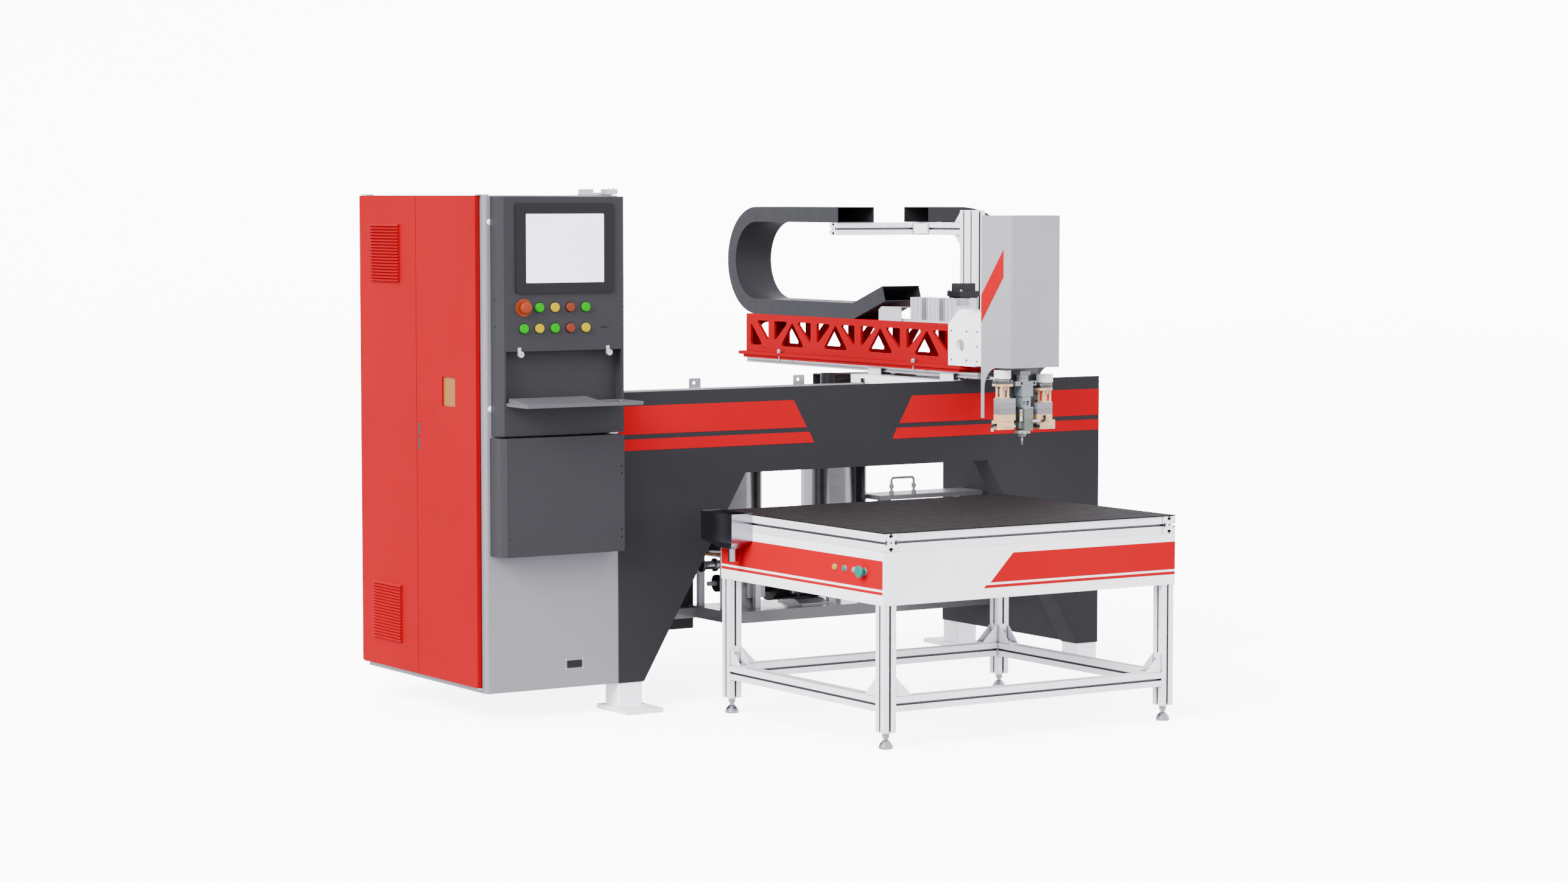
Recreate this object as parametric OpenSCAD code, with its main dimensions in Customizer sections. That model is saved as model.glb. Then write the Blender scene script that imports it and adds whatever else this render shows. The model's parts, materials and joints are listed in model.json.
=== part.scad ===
// Gantry dispensing machine: a two-part metering and mixing head on a truss arm,
// carried by a steel portal with a switch cabinet, a pump shelf and a work table.
// Millimetres, +Z up. X runs along the portal, Y runs from the table to the rear.
// Distances are set out from the front left foot of the table, and the whole is
// then moved so that the origin lies at the centre of the footprint on the floor.

/* [Portal] */
// Width over the posts
portal_w = 2176; // [1900:1:2500]
// Depth over the posts
portal_d = 906; // [820:1:1100]
// Left face of the left posts
portal_x = -328; // [-420:1:-250]
// Front face of the front posts
portal_y = 1224; // [1150:1:1400]
// Side of the square post tube
post_w = 100; // [80:1:120]
// Wall of the post tube
post_wall = 5; // [4:0.5:8]
// Outer corner radius of the post tube
post_r = 8; // [6:1:14]
// Height of the beams that carry the long rails
beam_top = 1099; // [1050:1:1150]
// Height of the rear beam with its trough
rear_beam_top = 1079; // [1040:1:1095]
// Distance from the front post face to the front rail
rail_front_y = 62; // [40:1:70]
// Distance between the two long rails
rail_pitch = 514; // [480:1:560]
// Thickness of the base plates
base_t = 17; // [12:1:25]
// Length of a base plate in Y
base_l = 220; // [200:1:260]
// Width of a base plate in X
base_w = 150; // [140:1:200]
// Step of the base plate behind the post
base_back = 15; // [10:1:30]
// Radius of the anchor holes
anchor_r = 7; // [5:0.5:9]

/* [Cladding] */
// Thickness of the cladding sheet
sheet_t = 3; // [2:0.5:5]
// Top edge of the front sheet
clad_top = 1152; // [1140:1:1156]
// Bottom edge of the front sheet
clad_bottom = 102; // [60:1:160]
// Top edge of the portal opening
gate_top = 842; // [780:1:880]
// Width of the opening at its top
gate_top_w = 1096; // [900:1:1300]
// Width of the opening at the bottom edge
gate_bottom_w = 1966; // [1700:1:1970]
// Depth of the folded edge round the opening
fold_d = 97; // [60:1:99]
// Centre of the gap between the red stripes
stripe_mid = 689; // [640:1:760]
// Thickness of the stripe panels
stripe_t = 0.8; // [0.5:0.1:2]

/* [Cabinet] */
// Width of the switch cabinet
cab_w = 536; // [480:1:620]
// Overhang of the cabinet behind the portal
cab_over = 27; // [10:1:60]
// Underside of the cabinet
cab_bottom = 103; // [80:1:140]
// Top of the cabinet
cab_top = 1858; // [1840:1:1920]
// Sheet of the cabinet
cab_wall = 3; // [2:0.5:5]
// Radius of the front left corner
cab_r = 14; // [8:1:20]
// Thickness of the doors
door_t = 20; // [16:1:28]
// Step of the front door behind the cabinet front
door_step = 29; // [24:1:40]
// Height of the vent louvres over the door
vent_out = 11; // [6:1:16]
// Overhang of the rear door behind the cabinet
door_over = 14; // [8:1:20]
// Step of the doors above the cabinet underside
door_lift = 20; // [10:1:30]
// Gap between the doors
door_gap = 3; // [2:0.5:6]
// Gap between a moving cover and what it closes on
shut_gap = 0.3; // [0.2:0.1:0.6]

/* [Control boxes] */
// Depth of the upper box
panel_d = 67; // [60:1:74]
// Width of the upper box
panel_w = 499; // [480:1:510]
// Depth of the lower box
bin_d = 94; // [80:1:110]
// Underside of the lower box
bin_bottom = 592; // [540:1:640]
// Height of the lower box
bin_h = 417; // [380:1:418]
// Underside of the upper box
panel_bottom = 1016; // [1012:1:1024]
// Height of the upper box
panel_h = 838; // [820:1:838]
// Chamfer of the left front edges
box_chamfer = 17; // [10:1:24]
// Radius that the rear edge turns on
pivot_r = 28.7; // [24:0.1:30]
// Radius of a push button
button_r = 16.3; // [12:0.1:18]
// Travel of a push button
button_travel = 4; // [3:0.5:6]
// Width of the screen unit
screen_w = 395; // [360:1:410]
// Height of the screen unit
screen_h = 315; // [280:1:325]
// Height of the screen unit over the foot of the upper box
screen_up = 499; // [490:1:505]
// Depth of the keyboard bay
bay_d = 50; // [48:0.5:51]
// Depth of the fold-down tray
tray_d = 165; // [140:1:172]
// Height of the tray rim
tray_rim = 12; // [8:1:14]

/* [Long axis] */
// Width of a rail
rail_w = 23; // [20:1:26]
// Height of a rail
rail_h = 22; // [18:1:24]
// Height over rail and block
guide_h = 40; // [36:1:46]
// Length of a guide block
block_l = 88; // [70:1:100]
// Width of a guide block
block_w = 48; // [44:1:56]
// Thickness of the carriage plate
car_t = 12; // [10:1:20]
// Left edge of the carriage plate
car_x = 1120; // [1080:1:1124]
// Length of the carriage plate in X
car_w = 520; // [512:1:560]
// Front edge of the carriage plate behind the cladding
car_y = 6; // [4:1:12]
// Depth of the carriage plate in Y
car_d = 652; // [630:1:700]

/* [Arm] */
// Width of the truss arm
arm_w = 195; // [180:1:210]
// Height of the truss webs
arm_h = 156; // [140:1:170]
// Plate of the truss
arm_t = 12; // [8:1:14]
// Front end of the truss
arm_front = 1239; // [1200:1:1260]
// Distance from bay to bay
bay_pitch = 318; // [300:1:330]
// Width of an upright between two bays
upright_w = 45; // [36:1:52]
// Width of a diagonal
strut_w = 24; // [18:1:28]
// Corner radius of the cut-outs
cut_r = 7; // [4:1:9]
// Thickness of the foot flange
flange_t = 14; // [10:1:18]
// Step of the foot flange beside the webs
flange_step = 12; // [8:1:16]
// Thickness of the plate below the flange
sole_t = 12; // [8:1:16]
// Height over carriage plate and arm guides
arm_guide_h = 35; // [32:1:42]
// Travel of the arm
y_travel = 900; // [700:1:910]

/* [Cable ducts] */
// Height of a cable duct
duct_h = 62; // [50:1:70]
// Wall of a cable duct
duct_wall = 3; // [2:0.5:4]
// Width of the duct over the arm
duct_y_w = 176; // [150:1:185]
// Width of the duct behind the portal
duct_x_w = 175; // [150:1:185]
// Straight upper run of the duct over the arm
duct_run = 609; // [560:1:640]
// Underside of the upper runs
duct_z = 1749; // [1700:1:1760]
// Reach of the duct over the arm behind the carriage
duct_reach = 141; // [120:1:160]
// Distance from the mast back to the end of the lower run
duct_back = 446; // [400:1:480]
// Distance from the mast to the bend behind the portal
duct_on = 154; // [140:1:200]
// Distance from the duct behind the portal to the portal's rear
duct_in = 145; // [100:1:149]
// Distance from the left edge of the carriage to the mast
mast_dx = 448; // [440:1:455]
// Distance from the mast to the rear edge of the carriage
mast_dy = 214; // [200:1:230]
// Distance from the mast to the axis of the drive motor in X
drive_dx = 130; // [120:1:140]
// Distance from the mast to the axis of the drive motor in Y
drive_dy = 106; // [95:1:115]

/* [Head] */
// Width of the head cover
cover_w = 249; // [240:1:270]
// Depth of the head cover
cover_d = 170; // [160:1:190]
// Height of the head cover
cover_h = 568; // [520:1:600]
// Radius of the upright cover edges
cover_r = 22; // [14:1:28]
// Rear edge of the head cover
cover_back = 1012; // [1004:1:1020]
// Length of the side skirts below the cover
skirt_h = 192; // [150:1:210]
// Travel of the head
z_travel = 170; // [100:1:175]
// Height of the nozzle tip
tip_z = 923; // [915:1:940]
// Distance from the head axis to a metering valve
valve_x = 86; // [84:1:90]
// Width of a metering valve block
valve_w = 68; // [60:1:70]
// Depth of a metering valve block
valve_d = 44; // [38:1:50]
// Distance between the cylinder blocks on the arm
block_pitch = 116; // [100:1:125]

/* [Table] */
// Distance between the feet in X
table_w = 1190; // [1000:1:1300]
// Distance between the feet in Y
table_d = 978; // [850:1:1040]
// Side of the leg and rail profile
prof_w = 50; // [40:1:60]
// Width of the top frame profile
top_w = 55; // [50:1:62]
// Height of the top frame profile
top_h = 60; // [50:1:70]
// Underside of the top frame
top_z = 668; // [640:1:700]
// Lower end of the legs
leg_z = 56; // [46:1:80]
// Underside of the lower rails
low_rail_z = 125; // [100:1:240]
// Height of the side panels
apron_h = 182; // [150:1:200]
// Thickness of the side panels
apron_t = 3; // [2:0.5:4]
// Thickness of the top mat
mat_t = 4; // [2:0.5:8]

/* [Pump shelf] */
// Left end of the shelf
shelf_x = 511; // [480:1:560]
// Step of the shelf in front of the portal's rear
shelf_in = 8; // [2:1:20]
// Depth of the shelf
shelf_d = 322; // [300:1:328]
// Top of the shelf
shelf_z = 245; // [220:1:280]
// Height of the shelf edge
shelf_h = 45; // [35:1:55]
// Radius of a supply tank
tank_r = 131; // [110:1:134]
// Height of a supply tank
tank_h = 440; // [380:1:460]
// Axis of the left tank
tank_1 = 610; // [600:1:640]
// Distance between the tanks
tank_pitch = 495; // [440:1:500]
// Underside of the tanks
tank_z = 466; // [440:1:500]

/* [Hidden] */
$fn = 48;

// Main planes of the portal
beam_z = beam_top - post_w;
px1 = portal_x + portal_w;
py1 = portal_y + portal_d;
portal_mid = portal_x + portal_w / 2;
clad_y = portal_y - sheet_t;
rail_1 = portal_y + rail_front_y;
rail_2 = rail_1 + rail_pitch;
guide_z = beam_top + guide_h;
gate_x0 = portal_mid - gate_bottom_w / 2;
gate_x1 = portal_mid + gate_bottom_w / 2;
// Seam between the sheets and tubes that make up one piece
seam = 0.2;
shelf_y = py1 - shelf_in - shelf_d;
// Cabinet and boxes
cab_x0 = portal_x - cab_w;
cab_y1 = py1 + cab_over;
door_x1 = cab_x0 - shut_gap;
door_x0 = door_x1 - door_t;
door_y0 = portal_y + door_step;
door_y1 = cab_y1 + door_over;
door_z0 = cab_bottom + door_lift;
door_z1 = cab_top - 1;
split_y = (door_y0 + door_y1) / 2;
// Hinge axes lie inside the rounded edges of the doors
hinge_r = 6;
hinge_pin = 3;
hinge_x = door_x1 - hinge_r;
hinge_y = [door_y0 + hinge_r, door_y1 - hinge_r];
box_back = portal_y - shut_gap;
panel_x1 = portal_x - 13;
panel_x0 = panel_x1 - panel_w;
panel_y = box_back - panel_d;
pivot_x = panel_x1 - pivot_r;
pivot_y = box_back - pivot_r;
bin_y = box_back - bin_d;
bin_x0 = panel_x0 - 6;
bin_x1 = panel_x1 - 14;
box_t = 3;
button_pitch = 62;
button_row = 73;
button_x = panel_x0 + 94;
button_z = panel_bottom + 449;
bay_x0 = panel_x0 + 24;
bay_x1 = panel_x1 - 9;
bay_z0 = panel_bottom + 104;
bay_z1 = bay_z0 + 192;
tray_hy = panel_y + 7.3;
tray_hz = bay_z0 + 6.5;
tray_pin_r = 4;
pin_r = 6;
estop_r = 11;
table_push_r = 9;
table_stop_r = 11;
fit = 0.05;
// Long axis, arm and head
car_z1 = guide_z + car_t;
car_y0 = portal_y + car_y;
car_y1 = car_y0 + car_d;
arm_x = car_x + 30;
arm_x1 = arm_x + arm_w;
sole_z = car_z1 + arm_guide_h;
web_z = sole_z + sole_t + flange_t;
arm_top = web_z + arm_h;
bays = 4;
arm_back = arm_front + 27 + bays * bay_pitch + 170;
head_x = arm_x + arm_w / 2 + 2;
cover_y = cover_back - cover_d;
cover_z = car_z1 + 64;
cover_top = cover_z + cover_h;
head_y = cover_y + 78;
// Ducts
duct_y_x = arm_x;
duct_y_z1 = duct_z + duct_h;
duct_y_r = (duct_y_z1 - arm_top - shut_gap) / 2;
duct_y_y0 = car_y1 + duct_reach;
duct_y_yc = duct_y_y0 + duct_run;
duct_x_z0 = rear_beam_top + shut_gap;
duct_x_r = (duct_y_z1 - duct_x_z0) / 2;
mast_x = car_x + mast_dx;
mast_y = car_y1 - mast_dy;
duct_x_xc = mast_x + duct_on;
duct_x_y0 = py1 - duct_in;
// Table
leg = prof_w / 2;
tx1 = table_w;
ty1 = table_d;
top_z1 = top_z + top_h;
apron_z0 = top_z - apron_h;
// Origin at the centre of the footprint
x_min = door_x0 - vent_out;
x_max = duct_x_xc + duct_x_r;
y_min = -leg - 5;
y_max = duct_y_yc + duct_y_r;

red = "#e8232c";
dark = "#4b4b50";
light = "#d9d9df";

// Moves the machine so that its footprint is centred on the origin
module site() translate([-(x_min + x_max) / 2, -(y_min + y_max) / 2, 0]) children();
// Box between two corners
module block(x0, x1, y0, y1, z0, z1) translate([x0, y0, z0]) cube([x1 - x0, y1 - y0, z1 - z0]);
// Outline drawn in Y and Z, given a thickness along X
module yz(x0, x1) translate([x0, 0, 0]) rotate([90, 0, 90]) linear_extrude(x1 - x0) children();
// Outline drawn in X and Z, given a thickness along Y
module xz(y0, y1) translate([0, y1, 0]) rotate([90, 0, 0]) linear_extrude(y1 - y0) children();
// Outline drawn in X and Y, given a thickness along Z
module xy(z0, z1) translate([0, 0, z0]) linear_extrude(z1 - z0) children();
module rod_x(x0, x1, y, z, r) translate([x0, y, z]) rotate([0, 90, 0]) cylinder(x1 - x0, r = r);
module rod_y(y0, y1, x, z, r) translate([x, y1, z]) rotate([90, 0, 0]) cylinder(y1 - y0, r = r);
module rod_z(z0, z1, x, y, r) translate([x, y, z0]) cylinder(z1 - z0, r = r);

// Rectangle with round corners, from two corners
module round_box(x0, y0, x1, y1, r) {
    translate([x0 + r, y0]) square([x1 - x0 - 2 * r, y1 - y0]);
    translate([x0, y0 + r]) square([x1 - x0, y1 - y0 - 2 * r]);
    for (x = [x0 + r, x1 - r], y = [y0 + r, y1 - r]) translate([x, y]) circle(r);
}
// Tube outline of a post, with round corners
module tube_outline(x0, y0, x1, y1) difference() {
    round_box(x0, y0, x1, y1, post_r);
    round_box(x0 + post_wall, y0 + post_wall, x1 - post_wall, y1 - post_wall,
        post_r - post_wall + 1);
}
// Tube outline of a beam, whose flat faces meet the posts
module beam_outline(x0, y0, x1, y1) difference() {
    translate([x0, y0]) square([x1 - x0, y1 - y0]);
    translate([x0 + post_wall, y0 + post_wall])
        square([x1 - x0 - 2 * post_wall, y1 - y0 - 2 * post_wall]);
}
// Outline of a slotted aluminium profile, centred
module slot_outline(w, h) {
    mouth = 4.1;
    lip = 4.5;
    module slot(n) {
        translate([-mouth, n - lip - 1]) square([2 * mouth, lip + 2]);
        polygon([[-9, n - lip], [9, n - lip], [9, n - lip - 3], [4.5, n - lip - 9],
            [-4.5, n - lip - 9], [-9, n - lip - 3]]);
    }
    difference() {
        square([w, h], center = true);
        slot(h / 2);
        rotate(180) slot(h / 2);
        rotate(90) slot(w / 2);
        rotate(-90) slot(w / 2);
        circle(3.4);
    }
}
module prof_x(x0, x1, y, z, w, h) yz(x0, x1) translate([y, z]) slot_outline(w, h);
module prof_y(y0, y1, x, z, w, h) xz(y0, y1) translate([x, z]) slot_outline(w, h);
module prof_z(z0, z1, x, y, w, h) xy(z0, z1) translate([x, y]) slot_outline(w, h);
// Polygon whose corners are rounded by r, from its inner corner points
module soft_polygon(p, r) {
    n = len(p);
    polygon(p);
    for (i = [0 : n - 1]) {
        a = p[i];
        b = p[(i + 1) % n];
        d = (b - a) / norm(b - a);
        q = [-d[1], d[0]] * r;
        translate(a) circle(r);
        polygon([a - q, b - q, b + q, a + q]);
    }
}
// Guide block that grips a rail from above, along X, rail foot at z
module block_on_x_rail(xc, y, z) difference() {
    yz(xc - block_l / 2, xc + block_l / 2) polygon([
        [y - block_w / 2, z + 7], [y + block_w / 2, z + 7],
        [y + block_w / 2, z + guide_h - 6], [y + block_w / 2 - 4, z + guide_h],
        [y - block_w / 2 + 4, z + guide_h], [y - block_w / 2, z + guide_h - 6]]);
    block(xc - block_l, xc + block_l, y - rail_w / 2 - shut_gap,
        y + rail_w / 2 + shut_gap, z, z + rail_h + 1);
}

// Portal
module gate_outline() polygon([
    [gate_x0, clad_bottom - 1], [gate_x1, clad_bottom - 1], [gate_x1, clad_bottom],
    [portal_mid + gate_top_w / 2, gate_top], [portal_mid - gate_top_w / 2, gate_top],
    [gate_x0, clad_bottom]]);

module base_plate(x, y, front) {
    y0 = front ? y - (base_l - post_w - base_back) : y - base_back;
    difference() {
        block(x + post_w / 2 - base_w / 2, x + post_w / 2 + base_w / 2, y0, y0 + base_l, 0, base_t);
        for (s = [-1, 1]) translate([x + post_w / 2 + s * (base_w / 2 - 25),
            front ? y0 + 35 : y0 + base_l - 35, -1]) cylinder(base_t + 2, r = anchor_r);
    }
}
module portal_frame() color(light) site() {
    g = seam;
    y0 = portal_y + post_w + g;
    y1 = py1 - post_w - g;
    for (x = [portal_x, px1 - post_w]) {
        for (y = [portal_y, py1 - post_w]) {
            xy(base_t, beam_z - g) tube_outline(x, y, x + post_w, y + post_w);
            base_plate(x, y, y == portal_y);
        }
        xz(y0, y1) beam_outline(x, beam_z, x + post_w, beam_top - 24);
        xz(y0, y1) beam_outline(x + post_r, 200, x + post_w - post_r, 260);
    }
    yz(portal_x, px1) beam_outline(portal_y, beam_z, portal_y + post_w, beam_top);
    yz(portal_x + post_w + g, px1 - post_w - g)
        beam_outline(rail_2 - post_w / 2, beam_z, rail_2 + post_w / 2, beam_top);
    yz(portal_x, px1) beam_outline(py1 - post_w, beam_z, py1, rear_beam_top - 3 - g);
    // Trough that the duct lies in
    block(portal_x + 300, px1, duct_x_y0 - 5 + g, duct_x_y0 + duct_x_w + 5 - g,
        rear_beam_top - 3, rear_beam_top);
    for (y = [duct_x_y0 - 8, duct_x_y0 + duct_x_w + 5])
        block(portal_x + 300, px1, y, y + 3, rear_beam_top - 3, rear_beam_top + 20);
}
module portal_cladding() color(dark) site() {
    difference() {
        block(portal_x, px1, clad_y, portal_y, clad_bottom, clad_top);
        xz(clad_y - 1, portal_y + 1) gate_outline();
    }
    // Folded edge round the opening
    difference() {
        xz(portal_y, portal_y + fold_d) intersection() {
            translate([portal_x, clad_bottom]) square([portal_w, gate_top]);
            polygon([[gate_x0 - sheet_t, clad_bottom], [gate_x1 + sheet_t, clad_bottom],
                [portal_mid + gate_top_w / 2 + sheet_t, gate_top + sheet_t],
                [portal_mid - gate_top_w / 2 - sheet_t, gate_top + sheet_t]]);
        }
        xz(portal_y - 1, portal_y + fold_d + 1) gate_outline();
        for (x = [portal_x, px1 - post_w])
            block(x - 1, x + post_w + shut_gap, portal_y - 1, portal_y + post_w + 1, 0, gate_top);
    }
}
// Pair of bands with slanted inner ends
module stripe_band(z0, z1, half_top, slope) {
    h = z1 - z0;
    xz(clad_y - stripe_t, clad_y) {
        polygon([[portal_x, z0], [stripe_mid - half_top + h * slope, z0],
            [stripe_mid - half_top, z1], [portal_x, z1]]);
        polygon([[px1, z0], [px1, z1], [stripe_mid + half_top, z1],
            [stripe_mid + half_top - h * slope, z0]]);
    }
}
module portal_stripes() color(red) site() {
    stripe_band(clad_top - 153, clad_top - 50, 267, 0.57);
    stripe_band(clad_top - 211, clad_top - 170, 197, 0.51);
}
module side_cladding() color(dark) site() {
    for (x = [portal_x + post_w, px1 - post_w - sheet_t])
        block(x, x + sheet_t, portal_y + fold_d + 4, py1 - seam, clad_bottom + 3, beam_z);
    // Rear cover at the left
    block(portal_x, shelf_x + 27, py1, py1 + sheet_t, 150, rear_beam_top - 10);
}

// Cabinet
module cab_outline(t) {
    r = cab_r - t * 0.5;
    x0 = cab_x0 + t;
    y0 = portal_y + t;
    translate([x0 + r, y0]) square([portal_x - t - x0 - r, r]);
    translate([x0, y0 + r]) square([portal_x - t - x0, cab_y1 - t - y0 - r]);
    translate([x0 + r, y0 + r]) circle(r);
}
// Panels, door frame and rounded corner profile
module cabinet_body() color("#b9b9bf") site() {
    g = seam;
    w = cab_wall;
    c = cab_r + w / 2;
    z0 = cab_bottom + w + g;
    z1 = cab_top - w - g;
    for (z = [cab_bottom, cab_top - w]) xy(z, z + w) cab_outline(0);
    xy(z0, z1) intersection() {
        difference() {
            cab_outline(0);
            cab_outline(w);
        }
        translate([cab_x0, portal_y]) square(c);
    }
    block(cab_x0, portal_x, cab_y1 - w, cab_y1, z0, z1);
    block(portal_x - w, portal_x, portal_y + w + g, cab_y1 - w - g, z0, z1);
    // Uprights of the door frame, and the rails between them
    f = [[portal_y + c + g, door_y0 + 14], [split_y - 16, split_y + 16],
        [cab_y1 - 20, cab_y1 - w - g]];
    for (y = f) block(cab_x0, cab_x0 + w, y[0], y[1], z0, z1);
    for (i = [0, 1], z = [[z0, door_z0 + 20], [door_z1 - 20, z1]])
        block(cab_x0, cab_x0 + w, f[i][1] + g, f[i + 1][0] - g, z[0], z[1]);
    // Front panel with the cable gland plate
    gx = cab_x0 + 355;
    gz = cab_bottom + 83;
    difference() {
        block(cab_x0 + c + g, portal_x, portal_y, portal_y + w, z0, z1);
        block(gx - 31, gx + 31, portal_y - 1, portal_y + 1.5, gz - 14, gz + 14);
        rod_y(portal_y - 1, portal_y + w + 1, gx, gz - 7, 6);
        for (x = [-36, 36], z = [-16, 16])
            rod_y(portal_y - 1, portal_y + w + 1, gx + x, gz + z, 2.2);
    }
}
module mounting_plate() color("#e2a35c") site() {
    block(portal_x - cab_wall - 40, portal_x - cab_wall - 37, portal_y + 60, cab_y1 - 60,
        cab_bottom + 60, cab_top - 60);
    for (y = [portal_y + 80, cab_y1 - 80], z = [cab_bottom + 90, cab_top - 90])
        rod_x(portal_x - cab_wall - 37 + seam, portal_x - cab_wall, y, z, 8);
}
// Louvred vent, drawn as one saw-tooth outline
module vent(y0, y1, z0, z1) {
    n = 19;
    p = (z1 - z0) / n;
    xz(y0, y1) polygon(concat([[door_x0, z0]],
        [for (i = [0 : n - 1], k = [0, 1]) k == 0
            ? [door_x0 - vent_out, z0 + i * p + 2] : [door_x0 - 3, z0 + i * p + p]],
        [[door_x0, z1]]));
}
// Folded door that turns at y = h, its edge there rounded about the hinge axis
module door_leaf(y0, y1, h) difference() {
    xy(door_z0, door_z1) difference() {
        translate([door_x0, y0]) square([door_t, y1 - y0]);
        difference() {
            translate([hinge_x, h < split_y ? y0 - 1 : h]) square(hinge_r + 1);
            translate([hinge_x, h]) circle(hinge_r);
        }
    }
    block(door_x0 + 2, door_x1 + 1, y0 + 16, y1 - 16, door_z0 + 16, door_z1 - 16);
    for (z = [door_z0, door_z1]) rod_z(z - 11, z + 11, hinge_x, h, hinge_pin + fit);
}
module rear_door() color(red) site() {
    door_leaf(split_y + door_gap / 2, door_y1, hinge_y[1]);
    for (z = [door_z0 + 100, door_z1 - 314]) vent(door_y1 - 331, door_y1 - 102, z, z + 212);
}
window_y0 = door_y0 + 159;
window_z0 = door_z0 + 985;
window_w = 99;
window_h = 104;
latch_y = split_y - 19;
latch_h = 48;
latch_w = 15;
latch_z = [door_z0 + 817, door_z0 + 871];
module front_door() color(red) site() difference() {
    union() {
        door_leaf(door_y0, split_y - door_gap / 2, hinge_y[0]);
        // Seat of the window
        block(door_x0 + 2, door_x0 + 10, window_y0 - 12, window_y0 + window_w + 12,
            window_z0 - 12, window_z0 + window_h + 12);
        // Pockets of the latches
        for (z = latch_z) block(door_x0 + 2, door_x1 - 4, latch_y - latch_w / 2 - 3,
            latch_y + latch_w / 2 + 3, z - 3, z + latch_h + 3);
    }
    block(door_x0 - 1, door_x0 + 12, window_y0, window_y0 + window_w, window_z0,
        window_z0 + window_h);
    block(door_x0 + 6, door_x0 + 12, window_y0 - 6, window_y0 + window_w + 6,
        window_z0 - 6, window_z0 + window_h + 6);
    for (z = latch_z) block(door_x0 - 1, door_x1 - 7, latch_y - latch_w / 2,
        latch_y + latch_w / 2, z, z + latch_h);
}
module door_window() color("#f0b070") site()
    block(door_x0 + 6, door_x0 + 10, window_y0 - 6, window_y0 + window_w + 6,
        window_z0 - 6, window_z0 + window_h + 6);
// Flush lever that turns about its top edge
module latch(z) {
    g = shut_gap;
    xz(latch_y - latch_w / 2 + g, latch_y + latch_w / 2 - g) {
        translate([door_x0 + 4, z + latch_h - 4.5]) circle(4);
        polygon([[door_x0, z + latch_h - 4.5], [door_x0 + 8, z + latch_h - 4.5],
            [door_x0 + 5, z + g], [door_x0, z + g]]);
    }
}
module latch_upper() color("#1c1c20") site() latch(latch_z[1]);
module latch_lower() color("#1c1c20") site() latch(latch_z[0]);

// Control boxes
// Plan of a box: chamfered at the front left, rounded about the pivot at the rear right
module box_plan(x0, x1, y, t) {
    c = box_chamfer;
    k = t * 0.41;
    polygon([[x0 + t, box_back - t], [x0 + t, y + c + k], [x0 + c + k, y + t], [x1 - t, y + t],
        [x1 - t, pivot_y], [pivot_x, pivot_y], [pivot_x, box_back - t]]);
    intersection() {
        translate([pivot_x, pivot_y]) circle(pivot_r - t);
        translate([pivot_x, pivot_y]) square([x1 - t - pivot_x, pivot_r]);
    }
}
module hmi_box() color(dark) site() difference() {
    union() {
        difference() {
            xy(panel_bottom, panel_bottom + panel_h) box_plan(panel_x0, panel_x1, panel_y, 0);
            xy(panel_bottom + box_t, panel_bottom + panel_h - box_t)
                box_plan(panel_x0, panel_x1, panel_y, box_t);
        }
        // Keyboard bay
        block(bay_x0 - 6, bay_x1 + 6, panel_y + 1, panel_y + bay_d, bay_z0 - 6, bay_z1 + 6);
        // Bosses for the pivot pins
        for (z = [panel_bottom, panel_bottom + panel_h - 12])
            rod_z(z, z + 12, pivot_x, pivot_y, 12);
    }
    block(bay_x0, bay_x1, panel_y - 1, panel_y + 20, bay_z0, bay_z1);
    block(bay_x0 - 3, bay_x1 + 3, panel_y + 16, panel_y + bay_d - 3, bay_z0 - 3, bay_z1 + 3);
    rod_x(bay_x0 - 5, bay_x1 + 5, tray_hy, tray_hz, tray_pin_r + fit);
    for (z = [panel_bottom, panel_bottom + panel_h])
        rod_z(z - 8, z + 8, pivot_x, pivot_y, pin_r + fit);
    // Seats of the buttons
    for (i = [0 : 4], j = [0, 1])
        rod_y(panel_y - 1, panel_y + box_t + 1, button_x + i * button_pitch,
            button_z - j * button_row, (i + j == 0 ? estop_r : button_r) + fit);
    // Data socket and its screws
    ux = button_x + 5 * button_pitch + 16;
    uz = button_z - button_row;
    block(ux - 7, ux + 7, panel_y - 1, panel_y + box_t + 1, uz - 3, uz + 4);
    for (s = [-1, 1]) rod_y(panel_y - 1, panel_y + box_t + 1, ux + s * 13, uz, 1.8);
    // Holes in the left side
    for (z = [button_z + 26, button_z - 67]) rod_x(panel_x0 - 1, panel_x0 + box_t + 1,
        box_back - 32, z, 3.4);
}
module hmi_screen() color("#2b2b2f") site() {
    x0 = panel_x0 + 62;
    z0 = panel_bottom + screen_up;
    difference() {
        xz(panel_y - 7, panel_y) round_box(x0, z0, x0 + screen_w, z0 + screen_h, 9);
        block(x0 + 40, x0 + screen_w - 41, panel_y - 8, panel_y - 5, z0 + 36,
            z0 + screen_h - 36);
    }
}
module tray_catches() color("silver") site() for (x = [bay_x0 + 55, bay_x1 - 55]) {
    difference() {
        rod_y(panel_y - 12, panel_y - 2, x, bay_z1 - 10, 11);
        rod_y(panel_y - 13, panel_y - 8, x, bay_z1 - 10, 4);
    }
    block(x - 9, x + 3, panel_y - 4, panel_y, bay_z1 - 10, bay_z1 + 14);
    rod_y(panel_y - 5.5, panel_y - 3.9, x - 3, bay_z1 + 9, 2.4);
}
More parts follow.
